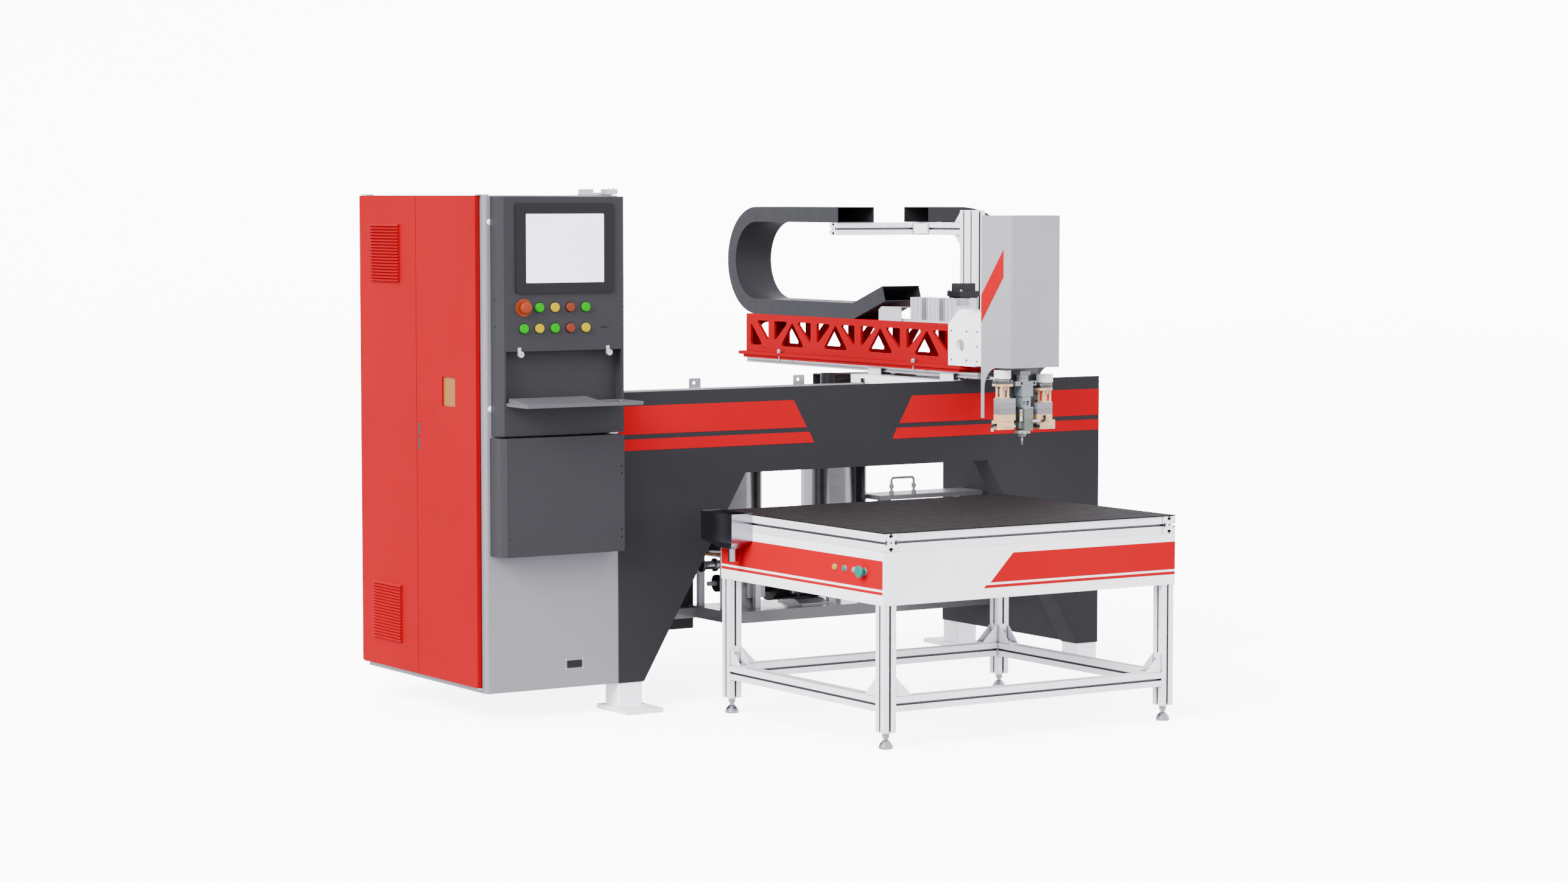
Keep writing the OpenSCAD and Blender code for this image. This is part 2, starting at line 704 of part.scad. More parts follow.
// Round push button with a collar behind the sheet
module push(x, z, r) translate([x, panel_y, z]) rotate([90, 0, 0]) rotate_extrude()
    polygon([[0, -9], [r - 3, -9], [r - 3, -6], [r + 2.5, -6], [r + 2.5, -box_t - shut_gap],
        [r, -box_t - shut_gap], [r, button_travel + 5], [r - 2, button_travel + 7],
        [0, button_travel + 7]]);
module panel_button(i, j) site() push(button_x + i * button_pitch, button_z - j * button_row,
    button_r);
module estop_collar() color("#d9502c") site() difference() {
    rod_y(panel_y - 5, panel_y, button_x, button_z, 31);
    rod_y(panel_y - 6, panel_y + 1, button_x, button_z, estop_r + fit);
}
module estop_button() color("#d9502c") site() translate([button_x, panel_y, button_z])
    rotate([90, 0, 0]) rotate_extrude() polygon([[0, -9], [estop_r - 2, -9], [estop_r - 2, -6],
        [estop_r + 3, -6], [estop_r + 3, -box_t - shut_gap], [estop_r, -box_t - shut_gap],
        [estop_r, 12], [21.5, 16], [21.5, 24], [19, 29], [13, 31], [0, 32]]);
module button_a2() color("#14d420") panel_button(1, 0);
module button_a3() color("#f5d60a") panel_button(2, 0);
module button_a4() color("#b0452f") panel_button(3, 0);
module button_a5() color("#14d420") panel_button(4, 0);
module button_b1() color("#14d420") panel_button(0, 1);
module button_b2() color("#f5d60a") panel_button(1, 1);
module button_b3() color("#14d420") panel_button(2, 1);
module button_b4() color("#b0452f") panel_button(3, 1);
module button_b5() color("#f5d60a") panel_button(4, 1);
tray_x0 = bay_x0 + 1;
tray_x1 = bay_x1 - 1;
tray_y1 = tray_hy + 3;
tray_y0 = tray_y1 - tray_d;
tray_z0 = tray_hz - 5.5;
module keyboard_tray() color(dark) site() {
    difference() {
        block(tray_x0, tray_x1, tray_y0, tray_y1, tray_z0, tray_z0 + tray_rim);
        block(tray_x0 + 3, tray_x1 - 3, tray_y0 + 3, tray_y1 - 3, tray_z0 + 2, tray_z0 + tray_rim + 1);
    }
    for (x = [tray_x0 - 4, tray_x1 - 1]) rod_x(x, x + 5, tray_hy, tray_hz, tray_pin_r);
}
module keyboard() color("#8d8e96") site() {
    z = tray_z0 + 2;
    yz(tray_x0 + 9, tray_x0 + 318) polygon([[tray_y0 + 5, z], [tray_y1 - 10, z],
        [tray_y1 - 10, z + 24], [tray_y1 - 14, z + 26], [tray_y0 + 7, z + 9], [tray_y0 + 5, z + 7]]);
}
module lower_box() color(dark) site() difference() {
    union() {
        difference() {
            xy(bin_bottom, bin_bottom + bin_h) box_plan(bin_x0, bin_x1, bin_y, 0);
            xy(bin_bottom + box_t, bin_bottom + bin_h - box_t)
                box_plan(bin_x0, bin_x1, bin_y, box_t);
        }
        for (z = [bin_bottom, bin_bottom + bin_h - 12])
            rod_z(z, z + 12, pivot_x, pivot_y, 12);
    }
    for (z = [bin_bottom, bin_bottom + bin_h])
        rod_z(z - 8, z + 8, pivot_x, pivot_y, pin_r + fit);
    for (z = [62, 88, 288, 314]) rod_y(bin_y - 1, bin_y + box_t + 1, bin_x1 - 11,
        bin_bottom + z - 10, 3);
    for (z = [62, 292]) rod_y(bin_y - 1, bin_y + box_t + 1, bin_x0 + 30, bin_bottom + z, 2);
}
// Brackets and pins that the boxes and the cabinet doors turn on
module pivot_ear(z0, z1, back) xy(z0, z1) {
    translate([pivot_x, pivot_y]) circle(24);
    translate([pivot_x - 20, pivot_y]) square([40, back - pivot_y]);
}
module box_pivot() color("#a9a9b0") site() {
    g = shut_gap;
    top = panel_bottom + panel_h;
    seam0 = bin_bottom + bin_h + g;
    seam1 = panel_bottom - g;
    pivot_ear(seam0, seam1, portal_y);
    rod_z(seam0 - 7.5, seam1 + 7.5, pivot_x, pivot_y, pin_r);
    pivot_ear(bin_bottom - g - 5, bin_bottom - g, portal_y);
    rod_z(bin_bottom - g - 1, bin_bottom + 7.5, pivot_x, pivot_y, pin_r);
    // Top bracket that stands on the cabinet
    rod_z(top - 7.5, cab_top + 18, pivot_x, pivot_y, pin_r);
    pivot_ear(cab_top + 4, cab_top + 22, portal_y + 8);
    block(pivot_x - 85, pivot_x + 20, portal_y + 4, portal_y + 60, cab_top, cab_top + 4);
    block(pivot_x - 20, pivot_x + 20, portal_y + 4, portal_y + 60, cab_top + 4, cab_top + 10);
    block(pivot_x - 85, pivot_x - 50, portal_y + 8, portal_y + 56, cab_top + 4, cab_top + 22);
    for (x = [-10, 10]) rod_z(cab_top + 22, cab_top + 25, pivot_x + x, pivot_y, 4);
    // Hinge lugs below and above the cabinet doors
    for (y = hinge_y) {
        block(hinge_x - 8, cab_x0, y - 14, y + 8, door_z0 - 6, door_z0 - g);
        rod_z(door_z0 - 3, door_z0 + 10, hinge_x, y, hinge_pin);
        block(hinge_x - 8, cab_x0 + 30, y - 14, y + 8, cab_top, cab_top + 4);
        rod_z(door_z1 - 10, cab_top + 2, hinge_x, y, hinge_pin);
    }
}

// Long axis
module x_rails() color("#c9cad0") site() {
    for (y = [rail_1, rail_2]) difference() {
        yz(portal_x + 40, px1 - 40) difference() {
            translate([y - rail_w / 2, beam_top]) square([rail_w, rail_h]);
            for (s = [-1, 1]) translate([y + s * rail_w / 2, beam_top + rail_h * 0.55])
                rotate(45) square(5, center = true);
        }
        for (x = [portal_x + 80 : 240 : px1 - 80])
            rod_z(beam_top + rail_h - 7, beam_top + rail_h + 1, x, y, 5.5);
    }
    // Switch brackets on the trough
    for (x = [portal_x + 780, portal_x + 1262]) xz(duct_x_y0 - 12, duct_x_y0 - 8) difference() {
        translate([x - 26, rear_beam_top - 3]) round_box(0, 0, 52, 73, 5);
        translate([x - 4, rear_beam_top + 52]) circle(7);
    }
}
module x_carriage() color("#ececf0") site() difference() {
    union() {
        block(car_x, car_x + car_w, car_y0, car_y1, guide_z, car_z1);
        // Rib under the plate between the guides
        block(car_x + 20, car_x + car_w - 20, rail_1 + 60, rail_2 - 60, guide_z - 18, guide_z);
        // Side plates with room for the rails, deeper at the rear one
        for (x = [car_x, car_x + car_w - 6]) difference() {
            union() {
                block(x, x + 6, car_y0, car_y1, guide_z - 21, guide_z);
                block(x, x + 6, rail_2 - 83, rail_2 + 63, guide_z - 33, guide_z - 20);
            }
            for (y = [rail_1, rail_2])
                block(x - 1, x + 7, y - 18, y + 18, guide_z - 34, guide_z - 2);
        }
    }
    for (x = [car_x + 16, car_x + car_w - 16], y = [car_y0 + 30, car_y1 - 30])
        rod_z(guide_z - 1, car_z1 + 1, x, y, 5);
}
arm_rail_x = [arm_x + 35, arm_x1 - 35];
arm_block_y = [car_y0 + 56, car_y1 - 105];
module linear_blocks() color("#e4e4e8") site() {
    for (x = [car_x + 60, car_x + car_w - 60], y = [rail_1, rail_2])
        block_on_x_rail(x, y, beam_top);
    // Guides of the arm, standing on the carriage plate
    for (x = arm_rail_x, y = arm_block_y) difference() {
        xz(y - block_l / 2, y + block_l / 2) polygon([
            [x - block_w / 2 + 4, car_z1], [x + block_w / 2 - 4, car_z1],
            [x + block_w / 2, car_z1 + 6], [x + block_w / 2, sole_z - 6],
            [x - block_w / 2, sole_z - 6], [x - block_w / 2, car_z1 + 6]]);
        block(x - rail_w / 2 - shut_gap, x + rail_w / 2 + shut_gap, y - block_l, y + block_l,
            sole_z - rail_h - 1, sole_z);
    }
    // Grease nipples
    for (y = [rail_1, rail_2]) rod_x(car_x + 60 - block_l / 2 - 9, car_x + 60 - block_l / 2,
        y, beam_top + 30, 3);
    for (x = arm_rail_x) rod_y(arm_block_y[0] - block_l / 2 - 9, arm_block_y[0] - block_l / 2,
        x, car_z1 + 5, 3);
    // Toothed rack drive between the guides
    block(arm_x + arm_w / 2 - 16, arm_x + arm_w / 2 + 16, arm_block_y[0] + 90,
        arm_block_y[0] + 190, car_z1, car_z1 + 14);
}
beam_y1 = duct_y_y0 + 57;
bar_z0 = duct_z - shut_gap - prof_w;
mast_z1 = bar_z0 + prof_w + 50;
module chain_mast() color("#ccd2da") site() {
    // Upright, two profiles deep
    for (y = [0, prof_w]) prof_z(car_z1, mast_z1, mast_x + prof_w / 2, mast_y + y + prof_w / 2,
        prof_w, prof_w);
    // Arm of the mast that reaches back, and the bar under the duct
    prof_y(mast_y + 2 * prof_w, beam_y1, mast_x + prof_w / 2, bar_z0 + prof_w / 2, prof_w, prof_w);
    prof_x(arm_x, mast_x, beam_y1 - prof_w / 2, bar_z0 + prof_w / 2, prof_w, prof_w);
    // Gussets at the upright
    for (s = [0, 1]) yz(mast_x + 6, mast_x + prof_w - 6)
        polygon(s == 0
            ? [[mast_y + 2 * prof_w, bar_z0 + prof_w], [mast_y + 2 * prof_w + 46, bar_z0 + prof_w],
                [mast_y + 2 * prof_w, mast_z1]]
            : [[mast_y + 2 * prof_w, bar_z0], [mast_y + 2 * prof_w + 46, bar_z0],
                [mast_y + 2 * prof_w, bar_z0 - 46]]);
    // Foot plate and foot gussets
    block(mast_x - 20, mast_x, mast_y, mast_y + 2 * prof_w, car_z1, car_z1 + 8);
    yz(mast_x - 8, mast_x) polygon([[mast_y + 6, car_z1 + 8], [mast_y + 2 * prof_w - 6,
        car_z1 + 8], [mast_y + prof_w, car_z1 + 60]]);
    // Die-cast bracket at the corner of the bar
    difference() {
        block(mast_x - 46, mast_x, beam_y1 - prof_w - 46, beam_y1 - prof_w, bar_z0 + 4,
            bar_z0 + prof_w - 4);
        xy(bar_z0, bar_z0 + prof_w) polygon([[mast_x - 6, beam_y1 - prof_w - 50],
            [mast_x - 60, beam_y1 - prof_w - 50], [mast_x - 60, beam_y1 - prof_w + 4]]);
        for (z = [bar_z0 + 8, bar_z0 + prof_w / 2 + 2])
            xy(z, z + prof_w / 2 - 10) polygon([[mast_x - 5, beam_y1 - prof_w - 5],
                [mast_x - 38, beam_y1 - prof_w - 5], [mast_x - 5, beam_y1 - prof_w - 38]]);
    }
}
motor_x = mast_x - drive_dx;
motor_y = mast_y - drive_dy;
module drive_motor() color("#141417") site() {
    // Gearbox on its bracket, motor above it
    block(motor_x - 60, motor_x + 60, motor_y - 60, motor_y + 60, car_z1, car_z1 + 14);
    block(motor_x - 45, motor_x + 45, motor_y - 45, motor_y + 45, car_z1 + 14, car_z1 + 96);
    xy(car_z1 + 96, car_z1 + 108) translate([motor_x, motor_y]) round_box(-48, -48, 48, 48, 6);
    xy(car_z1 + 108, car_z1 + 310) translate([motor_x, motor_y]) round_box(-43, -43, 43, 43, 8);
    xy(car_z1 + 310, car_z1 + 332) translate([motor_x, motor_y]) round_box(-48, -48, 48, 48, 6);
    xy(car_z1 + 332, car_z1 + 362) translate([motor_x, motor_y]) round_box(-35, -35, 35, 35, 5);
    // Plug sockets
    block(motor_x - 78, motor_x - 43, motor_y - 18, motor_y + 18, car_z1 + 262, car_z1 + 300);
    rod_x(motor_x - 90, motor_x - 78, motor_y, car_z1 + 281, 12);
}
// Lays an outline across X (ax = 0) or across Y (ax = 1), from a to b
module across(ax, a, b) if (ax == 0) yz(a, b) children(); else xz(a, b) children();
// One length of a duct: cheeks of the first outline, cover sheets of the other two
module duct_length(ax, a, b) {
    across(ax, a, a + duct_wall) children(0);
    across(ax, b - duct_wall, b) children(0);
    across(ax, a + duct_wall + seam, b - duct_wall - seam) children(1);
    across(ax, a + duct_wall + seam, b - duct_wall - seam) children(2);
}
module duct_run(ax, a, b, u0, u1, z) duct_length(ax, a, b) {
    translate([u0, z]) square([u1 - u0, duct_h]);
    translate([u0, z]) square([u1 - u0, duct_wall]);
    translate([u0, z + duct_h - duct_wall]) square([u1 - u0, duct_wall]);
}
// Part of a flat ring between two radii and two angles
module ring_part(r0, r1, a0, a1) {
    n = 5;
    polygon([for (k = [0, 1], i = [0 : n]) let (q = a0 + (a1 - a0) * (k == 0 ? i : n - i) / n)
        (k == 0 ? r1 : r0) * [cos(q), sin(q)]]);
}
// Half turn of a duct with outer radius r, in ten lengths
module duct_bend(ax, a, b, u, z, r) for (k = [0 : 9]) {
    a0 = -90 + 18 * k + 0.04;
    a1 = a0 + 18 - 0.08;
    duct_length(ax, a, b) {
        translate([u, z]) ring_part(r - duct_h, r, a0, a1);
        translate([u, z]) ring_part(r - duct_h, r - duct_h + duct_wall, a0, a1);
        translate([u, z]) ring_part(r - duct_wall, r, a0, a1);
    }
}
// Duct behind the portal
module x_chain() color("#55565c") site() {
    y1 = duct_x_y0 + duct_x_w;
    duct_run(1, duct_x_y0, y1, mast_x, duct_x_xc - seam, duct_z);
    duct_run(1, duct_x_y0, y1, mast_x - duct_back, duct_x_xc - seam, duct_x_z0);
    duct_bend(1, duct_x_y0, y1, duct_x_xc, duct_x_z0 + duct_x_r, duct_x_r);
}
// Duct over the arm, with its raised end
kink_y = duct_y_y0 - 116;
kink_a = 19;
kink_l = 232;
// Band between two heights over the underside, before (up) or behind the mitred kink
module duct_band(up, d0, d1) {
    z0 = arm_top + shut_gap;
    tip = [kink_y, z0] + kink_l * [-cos(kink_a), sin(kink_a)];
    function end(d) = up ? tip + d * [sin(kink_a), cos(kink_a)] : [duct_y_yc - seam, z0 + d];
    function mitre(d) = [kink_y - (up ? seam : 0) + d * tan(kink_a / 2), z0 + d];
    polygon([mitre(d0), end(d0), end(d1), mitre(d1)]);
}
module y_chain() color("#55565c") site() {
    x1 = duct_y_x + duct_y_w;
    duct_run(0, duct_y_x, x1, duct_y_y0, duct_y_yc - seam, duct_z);
    duct_bend(0, duct_y_x, x1, duct_y_yc, arm_top + shut_gap + duct_y_r, duct_y_r);
    for (up = [false, true]) duct_length(0, duct_y_x, x1) {
        duct_band(up, 0, duct_h);
        duct_band(up, 0, duct_wall);
        duct_band(up, duct_h - duct_wall, duct_h);
    }
}

// Arm
// Cut-outs of one web, drawn in Y and Z
module web_cuts() {
    z0 = web_z + 28 + cut_r;
    z1 = arm_top - 27 - cut_r;
    open_w = bay_pitch - upright_w;
    d = strut_w;
    for (k = [0 : bays - 1]) {
        y0 = arm_front + 27 + k * bay_pitch + cut_r;
        y1 = y0 + open_w - 2 * cut_r;
        ym = (y0 + y1) / 2;
        // Middle triangle and the two beside it
        soft_polygon([[y0 + d + 34, z0], [y1 - d - 34, z0], [ym, z1 - 6]], cut_r);
        soft_polygon([[y0, z0 + 24], [ym - d - 26, z1], [y0, z1]], cut_r);
        soft_polygon([[y1, z0 + 24], [y1, z1], [ym + d + 26, z1]], cut_r);
    }
    // Half bay at the rear
    yr = arm_front + 27 + bays * bay_pitch + cut_r;
    ye = arm_back - 34 - cut_r;
    soft_polygon([[yr, z0 + 24], [ye - d - 32, z1], [yr, z1]], cut_r);
    soft_polygon([[yr + d + 30, z0], [ye, z0], [ye, z1 - 18]], cut_r);
}
flange_x0 = arm_x - flange_step;
flange_x1 = arm_x1 + flange_step;
flange_y0 = arm_front - 89;
flange_y1 = arm_back + 44;
module truss_arm() color(red) site() difference() {
    g = seam;
    union() {
        // Top plate and webs
        block(arm_x, arm_x1, arm_front, arm_back, arm_top - arm_t, arm_top);
        for (x = [arm_x, arm_x1 - arm_t])
            block(x, x + arm_t, arm_front, arm_back, web_z + g, arm_top - arm_t - g);
        // Rear closing plate
        block(arm_x + arm_t + g, arm_x1 - arm_t - g, arm_back - arm_t, arm_back, web_z + g,
            arm_top - arm_t - g);
        // Foot flange with a bevelled front corner, and the plate below it
        xy(web_z - flange_t, web_z) polygon([[flange_x0, flange_y0 + 20],
            [flange_x0 + 20, flange_y0], [flange_x1 - 20, flange_y0], [flange_x1, flange_y0 + 20],
            [flange_x1, flange_y1], [flange_x0, flange_y1]]);
        block(flange_x0 + 6, flange_x1 - 6, flange_y0 + 30, flange_y1 - 30, sole_z,
            web_z - flange_t - g);
    }
    yz(arm_x - 1, arm_x1 + 1) web_cuts();
    // Small holes at both ends of the web
    for (y = [arm_front + 105, arm_back - 145], k = [0 : 2])
        rod_x(arm_x - 1, arm_x + arm_t + 1, y + k * 20, web_z + 18, 2.4);
    // Hole in the rear plate
    rod_y(arm_back - arm_t - 1, arm_back + 1, arm_x + arm_w / 2, web_z + arm_h / 2, 40);
}
arm_bolt_y = [arm_front + 240, arm_back - 268];
module arm_rails() color("#d4d5da") site() {
    rail_y1 = min(flange_y1 - 10, arm_block_y[1] + block_l / 2 + y_travel + 21);
    for (x = arm_rail_x) xz(arm_front - 139, rail_y1) difference() {
        translate([x - rail_w / 2, sole_z - rail_h]) square([rail_w, rail_h]);
        for (s = [-1, 1]) translate([x + s * rail_w / 2, sole_z - rail_h * 0.55])
            rotate(45) square(5, center = true);
    }
    // Flange bolts with nuts
    for (x = [flange_x0 + 3, flange_x1 - 3], y = arm_bolt_y) {
        rod_z(web_z, web_z + 4, x, y, 9);
        rod_z(web_z + 4, web_z + 16, x, y, 6);
        rod_z(sole_z - 8, web_z - flange_t, x, y, 3);
        rod_z(sole_z - 8, sole_z - 1, x, y, 6.5);
    }
}
// Plates that close the arm and carry the head
plate_t = 15;
module arm_end_plates() color("#f2f2f5") site() {
    difference() {
        union() {
            for (x = [arm_x - plate_t, arm_x1]) yz(x, x + plate_t) polygon([
                [arm_front - 155, web_z], [arm_front, web_z], [arm_front, arm_top + 2],
                [arm_front - 72, arm_top + 59], [arm_front - 155, arm_top + 59]]);
            // Cross plate on the front end of the truss
            block(arm_x, arm_x1, arm_front - plate_t, arm_front, web_z, arm_top);
            block(arm_x - plate_t, arm_x1 + plate_t, arm_front - 155 - plate_t, arm_front - 155,
                web_z, arm_top + 59);
            // Side plates of the head drive
            for (x = [arm_x - plate_t + 6, arm_x1 - 6]) block(x, x + plate_t - 6,
                cover_back - 20, arm_front - 155 - plate_t, web_z + 4, arm_top + 50);
            // Column behind the head, inside the cover
            block(head_x - 66, head_x + 66, cover_back - 14 - column_d, cover_back - 14,
                column_z0, cover_top - 25);
            block(cover_x0 + sheet_t, cover_x1 - sheet_t, cover_back - 20, cover_back - 8,
                web_z + 4, arm_top + 50);
        }
        // Round window and bolt holes
        rod_x(arm_x - 50, arm_x1 + 50, arm_front - 79, web_z + 77, 25);
        for (y = [arm_front - 118, arm_front - 22], z = [web_z + 22, web_z + 132])
            rod_x(arm_x - 50, arm_x1 + 50, y, z, 5);
        for (z = [web_z + 20, web_z + 76, web_z + 132, arm_top + 46])
            for (y = [arm_front - 146, arm_front - 182]) rod_x(arm_x - 50, arm_x1 + 50, y, z, 3);
    }
}
module valve_blocks() color("#c3c6cc") site() {
    y0 = arm_front - 9;
    x0 = arm_x + 10;
    // Tray and light plate on the arm
    difference() {
        yz(arm_x + 4, arm_x + 64) polygon([[y0 + 352, arm_top], [y0 + 507, arm_top],
            [y0 + 507, arm_top + 42], [y0 + 486, arm_top + 55], [y0 + 352, arm_top + 55]]);
        yz(arm_x + 7, arm_x + 65) polygon([[y0 + 351, arm_top + 3], [y0 + 504, arm_top + 3],
            [y0 + 504, arm_top + 39], [y0 + 484, arm_top + 52], [y0 + 351, arm_top + 52]]);
    }
    block(x0, x0 + 120, y0 + 20, y0 + 350, arm_top, arm_top + 9);
    // Extruded cylinder blocks with grooved sides
    for (k = [0 : 2]) let (y = y0 + 48 + k * block_pitch) difference() {
        xy(arm_top + 9, arm_top + 95) translate([x0 + 50, y]) difference() {
            round_box(-38, -38, 38, 38, 5);
            for (a = [0 : 90 : 270]) rotate(a) {
                translate([38, -14]) circle(5);
                translate([38, 14]) circle(5);
            }
        }
        rod_z(arm_top + 88, arm_top + 96, x0 + 50, y, 24);
    }
    // Lifting hook beside the left end plate
    zh = arm_top + 59;
    yz(arm_x, arm_x + 10) {
        polygon([[arm_front - 26, zh - 27], [arm_front - 26, zh + 11], [arm_front - 118, zh + 14],
            [arm_front - 162, zh + 14], [arm_front - 162, zh + 1.5]]);
        translate([arm_front - 162, zh + 1.5]) square([38, 42]);
        translate([arm_front - 124, zh + 32]) circle(11);
    }
}

// Head
cover_x0 = head_x - cover_w / 2;
cover_x1 = head_x + cover_w / 2;
module cover_plan(t) {
    r = cover_r - t * 0.5;
    x0 = cover_x0 + t;
    x1 = cover_x1 - t;
    y0 = cover_y + t;
    translate([x0, y0 + r]) square([x1 - x0, cover_back - y0 - r]);
    translate([x0 + r, y0]) square([x1 - x0 - 2 * r, r]);
    for (x = [x0 + r, x1 - r]) translate([x, y0 + r]) circle(r);
}
module head_cover() color("#d3d3da") site() difference() {
    xy(cover_z - skirt_h, cover_top) cover_plan(0);
    translate([0, 1, 0]) xy(cover_z - skirt_h - 1, cover_top - sheet_t) cover_plan(sheet_t);
    // Front and sides end at the cover's lower edge, the skirts run on behind a round cut
    difference() {
        block(cover_x0 - 1, cover_x1 + 1, cover_y - 1, cover_back + 2, cover_z - skirt_h - 1, cover_z);
        yz(cover_x0 - 2, cover_x1 + 2) difference() {
            translate([cover_back - 105, cover_z - skirt_h]) square([108, skirt_h]);
            translate([cover_back - 105, cover_z - 86]) circle(86);
            translate([cover_back - 110, cover_z - skirt_h - 1]) square([91, skirt_h - 85]);
        }
    }
}
module cover_stripe() color(red) site() {
    z = cover_top - 402;
    yz(cover_x0 - 0.6, cover_x0) polygon([[cover_back, z], [cover_back, z + 104],
        [cover_y + cover_r + 8, z + 277], [cover_y + cover_r + 8, z + 173]]);
}
column_z0 = cover_z - 150;
column_d = 38;
slide_y = cover_back - 14 - column_d - shut_gap;
module head_slide() color("#9b9ca3") site() difference() {
    block(head_x - 94, head_x + 94, slide_y - 10, slide_y, tip_z + 62,
        column_z0 + z_travel + 160);
    for (x = [-88, 88], k = [0 : 6]) rod_y(slide_y - 11, slide_y + 1, head_x + x,
        tip_z + 76 + k * 28, 3);
}
// One metering valve on side s: foot, body of height h, cage with the coupling, flange,
// motor plate, ring and cap
module valve(s, z, h) {
    x = head_x + s * valve_x;
    w = valve_w / 2;
    y0 = head_y - 31;
    y1 = y0 + valve_d;
    yc = y0 + 23;
    xc = x + s * 12;
    zb = z + 56 + h;
    // Slab from its reach outwards and inwards
    module slab(o, i, back, z0, z1) xy(z0, z1)
        round_box(s < 0 ? x - o : x - i, y0, s < 0 ? x + i : x + o, back, 3);
    difference() {
        union() {
            slab(w + 13, w - 8, y1, z, z + 34);
            slab(w, w, y1 + 6, z + 34, zb);
            slab(w - 2, 8, y1, zb, zb + 4);
            slab(w, 22, slide_y - 10.5, zb + 45, zb + 54);
            slab(w, 22, slide_y - 10.5, zb + 54.5, zb + 64.5);
            rod_z(zb + 4, zb + 45, xc, yc, 11);
            for (a = [-1, 1], b = [-1, 1])
                rod_z(zb + 4, zb + 45, xc + a * 15, yc + b * 15, 4.5);
            rod_z(zb + 53, zb + 75, xc, yc, 29);
            rod_z(zb + 75, zb + 106, xc, yc, 32);
        }
        // Port in the side, slots in the foot and joints of the body
        rod_x(s < 0 ? x - w - 14 : x + w + 5, s < 0 ? x - w - 5 : x + w + 14, y0 + 14, z + 18, 6);
        for (k = [4, 26]) block(x - 22, x + 14, y0 - 1, y0 + 3, z + k, z + k + 5);
        for (k = [56 : 20 : 56 + h - 10])
            block(x - w - 1, x + w + 1, y0 - 1, y0 + 1, z + k, z + k + 1);
    }
    // Bracket to the slide
    block(x - 20, x + 20, y1 + 6, slide_y - 10, z + 60, z + 92);
}
module metering_valves() color("#cfb088") site() {
    valve(-1, tip_z + 61, 60);
    valve(1, tip_z + 57, 44);
}
module mixing_head() color("#b9bbc2") site() {
    x = head_x;
    y = head_y;
    // Top block, clamp bar and drive column
    block(x - 24, x + 24, y - 20, slide_y - 10, tip_z + 262, tip_z + 278);
    difference() {
        block(x - 49, x + 49, y - 24, y + 20, tip_z + 222, tip_z + 240);
        for (s = [-19, 39]) rod_y(y - 25, y - 14, x + s, tip_z + 231, 5);
    }
    rod_z(tip_z + 240, tip_z + 262, x, y, 23);
    block(x - 22, x + 30, y - 28, y + 20, tip_z + 182, tip_z + 222);
    difference() {
        block(x - 16, x + 22, y - 24, y + 20, tip_z + 140, tip_z + 182);
        block(x - 12, x + 14, y - 25, y - 10, tip_z + 148, tip_z + 165);
    }
    rod_z(tip_z + 145, tip_z + 170, x + 1, y - 17, 6);
    // Valve body that the two components enter
    block(x - 11, x + 29, y - 31, y + 20, tip_z + 54, tip_z + 142);
    block(x - 29, x - 11, y - 20, y + 20, tip_z + 62, tip_z + 86);
    block(x - 20, x + 20, y + 20, slide_y - 10, tip_z + 70, tip_z + 130);
    side = valve_x - valve_w / 2 + 8;
    for (s = [[x - side, x - 29], [x + 29, x + side]]) rod_x(s[0], s[1], y, tip_z + 78, 7);
    // Chamber ring, cone and nozzle
    translate([x, y, tip_z]) rotate_extrude() polygon([[0, 0], [2, 0], [2.4, 12], [4, 14],
        [5, 18], [4, 22], [3, 24], [3, 30], [13, 31], [17, 40], [17, 43], [31, 43], [31, 53],
        [20, 53], [20, 56], [0, 56]]);
}

// Pumps
shelf_x1 = px1 - post_w - sheet_t;
tank_y = shelf_y + 182;
tank_x = [tank_1, tank_1 + tank_pitch];
tank_wall = 3;
skin_t = 8;
pump_y = shelf_y + 150;
pump_z = shelf_z + 100;
pump_x = shelf_x + 130;
motor_l = 372;
// Reach of the outlets: the right one ends in front of the fan cowl
outlet_l = [118, tank_x[1] - pump_x - motor_l - 12];
module pump_shelf() color("#8f9096") site() {
    // Folded shelf with its edge turned down
    difference() {
        block(shelf_x, shelf_x1, shelf_y, shelf_y + shelf_d, shelf_z - shelf_h, shelf_z);
        block(shelf_x + 4, shelf_x1 - 4, shelf_y + 4, shelf_y + shelf_d - 4,
            shelf_z - shelf_h - 1, shelf_z - 4);
    }
    // Beam to the left rear post
    block(portal_x + post_w + sheet_t, shelf_x, shelf_y + shelf_d - 60, shelf_y + shelf_d - 20,
        shelf_z - shelf_h, shelf_z - 5);
    // Stands and insulating plates of the tanks
    for (x = tank_x) {
        for (dx = [-75, 75], dy = [-88, 88])
            block(x + dx - 12, x + dx + 12, tank_y + dy - 12, tank_y + dy + 12, shelf_z,
                tank_z - skin_t);
        difference() {
            block(x - 100, x + 100, tank_y - 106, tank_y + 106, tank_z - skin_t - 6, tank_z - skin_t);
            rod_z(tank_z - 30, tank_z, x, tank_y, 40);
        }
        difference() {
            rod_z(tank_z - skin_t, tank_z, x, tank_y, 122);
            rod_z(tank_z - 30, tank_z + 1, x, tank_y, 40);
        }
    }
}
